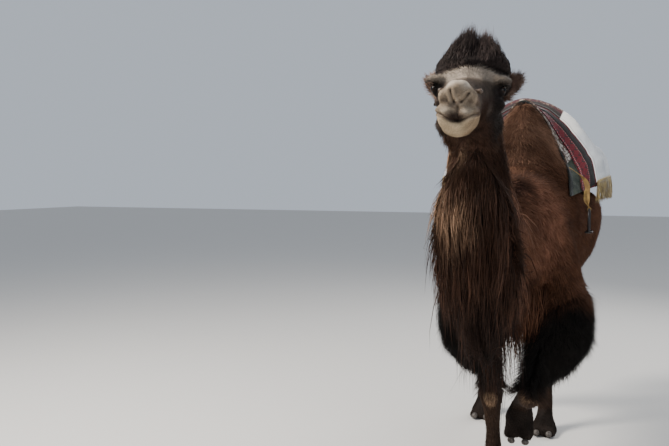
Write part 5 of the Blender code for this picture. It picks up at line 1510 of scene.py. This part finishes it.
def hung_threads(material):
    """A node group that hangs threads of random length and lean along a line."""
    group = bpy.data.node_groups.new("hung_threads", "GeometryNodeTree")
    sizes = {"Spacing": 0.0021, "Length": 0.105, "Thread": 0.0012, "Lean": 0.12, "Tangle": 0.007, "Seed": 4}
    tree_sockets(group, sizes)
    enter, leave = group.nodes.new("NodeGroupInput"), group.nodes.new("NodeGroupOutput")
    asked = enter.outputs

    def node(kind, settings=None, *inputs, output=0, **named):
        """One node's output: its settings made first, then its sockets by order or by name."""
        made = group.nodes.new(kind)
        for setting, value in (settings or {}).items():
            setattr(made, setting, value)
        by_name = [(made.inputs[name.replace("_", " ")], value) for name, value in named.items()]
        for socket, value in [*zip(made.inputs, inputs), *by_name]:
            if isinstance(value, bpy.types.NodeSocket):
                group.links.new(value, socket)
            elif value is not None:
                socket.default_value = value
        return made.outputs[output]

    # one thread, a metre long and a metre thick, and a point on the line for each
    points = node("GeometryNodeResampleCurve", {"mode": "LENGTH"}, Curve=asked["Geometry"], Length=asked["Spacing"])
    line = node("GeometryNodeCurvePrimitiveLine", None, Start=(0, 0, 0), End=(0, 0, -1))
    line = node("GeometryNodeResampleCurve", {"mode": "COUNT"}, Curve=line, Count=8)
    line = node("GeometryNodeSetCurveRadius", None, Curve=line, Radius=1.0)
    ring = node("GeometryNodeCurvePrimitiveCircle", {"mode": "RADIUS"}, Resolution=3, Radius=1.0)
    thread = node("GeometryNodeCurveToMesh", None, Curve=line, Profile_Curve=ring, Fill_Caps=True)
    # each has its own length and lean
    shortest = node("ShaderNodeMath", {"operation": "MULTIPLY"}, asked["Length"], 0.78)
    length = node("FunctionNodeRandomValue", {"data_type": "FLOAT"}, None, None, shortest, asked["Length"],
                  Seed=asked["Seed"], output=1)
    size = node("ShaderNodeCombineXYZ", None, asked["Thread"], asked["Thread"], length)
    back = node("ShaderNodeMath", {"operation": "MULTIPLY"}, asked["Lean"], -1.0)
    least, most = (node("ShaderNodeCombineXYZ", None, value, value) for value in (back, asked["Lean"]))
    lean = node("FunctionNodeRandomValue", {"data_type": "FLOAT_VECTOR"}, least, most, Seed=asked["Seed"])
    hung = node("GeometryNodeInstanceOnPoints", None, Points=points, Instance=thread, Rotation=lean, Scale=size)
    hung = node("GeometryNodeRealizeInstances", None, Geometry=hung)
    # the tangle: every point wanders a little
    place = node("ShaderNodeVectorMath", {"operation": "MULTIPLY"}, node("GeometryNodeInputPosition"), (34, 60, 17))
    wander = node("ShaderNodeTexNoise", None, Vector=place, Scale=1.0, Detail=1.0, output="Color")
    wander = node("ShaderNodeVectorMath", {"operation": "SUBTRACT"}, wander, (0.5, 0.5, 0.5))
    wander = node("ShaderNodeVectorMath", {"operation": "SCALE"}, wander, Scale=asked["Tangle"])
    hung = node("GeometryNodeSetPosition", None, Geometry=hung, Offset=wander)
    hung = node("GeometryNodeSetMaterial", None, Geometry=hung, Material=material)
    group.links.new(hung, leave.inputs[0])
    return group


def along_line(name, points):
    """A curve object through the given points."""
    curve = bpy.data.curves.new(name, "CURVE")
    curve.dimensions = "3D"
    spline = curve.splines.new("POLY")
    spline.points.add(len(points) - 1)
    spline.points.foreach_set("co", np.c_[points, np.ones(len(points))].astype(np.float32).ravel())
    made = bpy.data.objects.new(name, curve)
    bpy.context.scene.collection.objects.link(made)
    return made


def tube(name, rings, closed=False):
    """A mesh through rings of points, with its ends capped unless it closes on itself."""
    bm = bmesh.new()
    rows = [[bm.verts.new(p) for p in ring] for ring in rings]
    for first, second in zip(rows, rows[1:] + (rows[:1] if closed else [])):
        for k in range(len(first)):
            bm.faces.new((first[k - 1], first[k], second[k], second[k - 1]))
    if not closed:
        bm.faces.new(rows[0])
        bm.faces.new(rows[-1])
    bmesh.ops.recalc_face_normals(bm, faces=bm.faces)
    mesh = bpy.data.meshes.new(name)
    bm.to_mesh(mesh)
    bm.free()
    mesh.shade_smooth()
    return mesh


threads = hung_threads(gold.made)
for flip, side in ((1, "left"), (-1, "right")):
    solid = node_shape(f"fringe_{side}")[0]
    hem = sheet_outer[:, -1 if flip > 0 else 0]
    run_y = np.linspace(solid[:, 1].min() + 0.002, solid[:, 1].max() - 0.002, 90)
    hem_x, hem_z = (np.interp(run_y, hem[:, 1], hem[:, k]) for k in (0, 2))
    hem_x = hem_x + flip * 0.0035
    meshes = []
    # three layers of threads, each a little further out: how far, seed and length
    for layer, (offset, seed, long) in enumerate(((0.000, 4, 0.104), (0.0022, 9, 0.112), (0.0040, 15, 0.098))):
        path = points_in(hem_x + flip * offset, run_y + 0.0007 * layer, hem_z + 0.004 - 0.002 * layer)
        meshes.append(grown("threads", along_line("hem", path), threads, {"Seed": seed, "Length": long}))
    # the braid that the threads are knotted to
    rings = []
    for number, (x, y, z) in enumerate(zip(hem_x + flip * 0.001, run_y, hem_z + 0.006)):
        twist = 1 + 0.16 * math.sin(number * 1.9)
        rings.append([(x + 0.0032 * twist * math.cos(turn), y, z + 0.0060 * twist * math.sin(turn))
                      for turn in np.linspace(0, 2 * math.pi, 9)[:-1]])
    meshes.append(tube("braid", rings))
    bm = bmesh.new()
    for mesh in meshes:
        bm.from_mesh(mesh)
    joined = bpy.data.meshes.new(f"fringe_threads_{side}")
    bm.to_mesh(joined)
    bm.free()
    joined.materials.clear()
    joined.polygons.foreach_set("material_index", np.zeros(len(joined.polygons), np.int32))
    fitted(f"fringe_threads_{side}", joined, gold.made, "fringe", f"fringe_{side}")


# ---- Saddle pads -----------------------------------------------------------------------------------------------
# Two long bags of coarse canvas stuffed with straw, which lie under the felt on both sides of the humps.
canvas = Finish("canvas", (0.20, 0.15, 0.10), 0.9, 0.15, 0.2)
place = canvas.place()
threading = canvas.noise(canvas.stretched(place, (260, 260, 900)), 1.0, 2)
worn = canvas.noise(place, 11, 4)
shade = threading * 0.5 + worn * 0.5
canvas.colour(canvas.mixed((0.105, 0.072, 0.046), (0.225, 0.165, 0.110), shade.between(0.35, 0.65)))
canvas.bump(threading, 0.0010)
for side in ("left", "right"):
    pad = softened(f"saddle_pad_{side}", f"pad_{side}", canvas, "pad")


# ---- Stirrup straps --------------------------------------------------------------------------------------------
# A yellow woven webbing, sewn at the front corner of the pile, that hangs to the stirrup and loops round its top.
webbing = Finish("webbing", (0.30, 0.20, 0.07), 0.8, 0.25)
place = webbing.place()
ribs = (webbing.node("ShaderNodeSeparateXYZ", None, "Z", place) * 2400).math("SINE")
soil = webbing.noise(place, 40, 4)
webbing.colour(webbing.mixed(webbing.mixed((0.330, 0.215, 0.070), (0.200, 0.120, 0.045), soil.between(0.4, 0.65)),
                             (0.085, 0.050, 0.026), ribs.between(0.4, 1.0) * 0.5))
webbing.bump(ribs, 0.0005)
iron = Finish("iron", (0.035, 0.034, 0.034), 0.42, 0.5, 0.0, 0.85)
rust = iron.noise(iron.place(), 60, 5)
iron.colour(iron.mixed((0.030, 0.029, 0.030), (0.075, 0.036, 0.022), rust.between(0.55, 0.75)))
iron.roughness(rust.between(0.3, 0.7, 0.32, 0.62))
ROD = 0.0056                                 # half the thickness of the iron
TREAD = 0.0195                               # half the width of the stirrup's tread
WEB_WIDTH, WEB_THICK = 0.028, 0.0026
WEB_SECTION = [(-0.5, -0.35), (-0.44, -0.5), (0.44, -0.5), (0.5, -0.35)]
WEB_SECTION += [(-w, -h) for w, h in WEB_SECTION]
for flip, side in ((1, "left"), (-1, "right")):
    # the strap's line, from the pile down, seen from in front: x and z
    solid = node_shape(f"strap_{side}")
    strap_tree, near, far = tree_of(*solid), solid[0].min(0), solid[0].max(0)
    centre_y = (near[1] + far[1]) / 2
    line = []
    for z in np.linspace(far[2] - 0.002, near[2] + 0.002, 7):
        hit = strap_tree.ray_cast(Vector((flip * 1.5, centre_y, z)), Vector((-flip, 0, 0)))
        line.append((hit[0].x - flip * 0.0015, z))
    stirrup = node_shape(f"stirrup_{side}")[0]
    low, high = stirrup.min(0), stirrup.max(0)
    bar = high[2] - ROD
    line[-1] = ((low[0] + high[0]) / 2, bar + ROD + 0.004)
    line = np.array(line)
    smooth = through(line, np.linspace(0, 6, 49))
    for _ in range(6):
        smooth[1:-1] = (smooth[:-2] + 2 * smooth[1:-1] + smooth[2:]) / 4
    # round the stirrup's top and a hand's width back up
    loop_turn = np.linspace(math.pi * 0.5, -math.pi * 1.5, 22)[1:-1]
    loop = np.stack([line[-1, 0] + (ROD + 0.0022) * np.cos(loop_turn), bar + (ROD + 0.0022) * np.sin(loop_turn)], 1)
    tail_end = smooth[-4:-22:-1] + (flip * -0.0034, 0)
    path = np.concatenate([smooth, loop, tail_end])
    tangent = unit(np.gradient(path, axis=0))
    across = np.stack([-tangent[:, 1], tangent[:, 0]], 1)
    rings = []
    for (x, z), (nx, nz) in zip(path, across):
        down = (line[0, 1] - z) / (line[0, 1] - line[-1, 1])
        twist = math.radians(62) * float(ramp(np.float64(down), 0.12, 0.45) * ramp(np.float64(down), 0.98, 0.80))
        cos, sin = math.cos(twist), math.sin(twist)
        ring = []
        for w, h in WEB_SECTION:
            out = WEB_THICK * h * cos - WEB_WIDTH * w * sin
            ring.append((x + nx * out, centre_y + WEB_WIDTH * w * cos + WEB_THICK * h * sin, z + nz * out))
        rings.append(ring)
    fitted(f"webbing_{side}", tube(f"webbing_{side}", rings), webbing.made, "strap", f"strap_{side}")

    # the stirrup: a round bow of iron that swells into a flat tread
    middle = (low + high) / 2
    half, drop = (high[1] - low[1]) / 2 - ROD, high[2] - low[2] - 2 * ROD
    bow = [(0, 0), (0.45, -0.04), (0.80, -0.20), (0.98, -0.52), (1.0, -0.86), (0.86, -0.985), (0.45, -1.0), (0, -1.0)]
    bow += [(-a, b) for a, b in bow[-2:0:-1]]
    bow = np.array(bow + bow[:3])
    bow = through(bow, np.linspace(0, 14, 113))[:-1]
    tangent = unit(np.roll(bow, -1, 0) - np.roll(bow, 1, 0))
    rings = []
    for (a, b), (ta, tb) in zip(bow, tangent):
        wide = ROD + (TREAD - ROD) * float(ramp(np.float64(b), -0.93, -0.985))
        centre = (middle[0], middle[1] + a * half, high[2] - ROD + b * drop)
        deep = ROD * 0.9 * (1 - 0.35 * (wide - ROD) / (TREAD - ROD))
        rings.append([(centre[0] + wide * math.cos(turn), centre[1] + tb * deep * math.sin(turn),
                       centre[2] - ta * deep * math.sin(turn)) for turn in np.linspace(0, 2 * math.pi, 15)[:-1]])
    fitted(f"iron_{side}", tube(f"iron_{side}", rings, True), iron.made, "stirrup", f"stirrup_{side}")
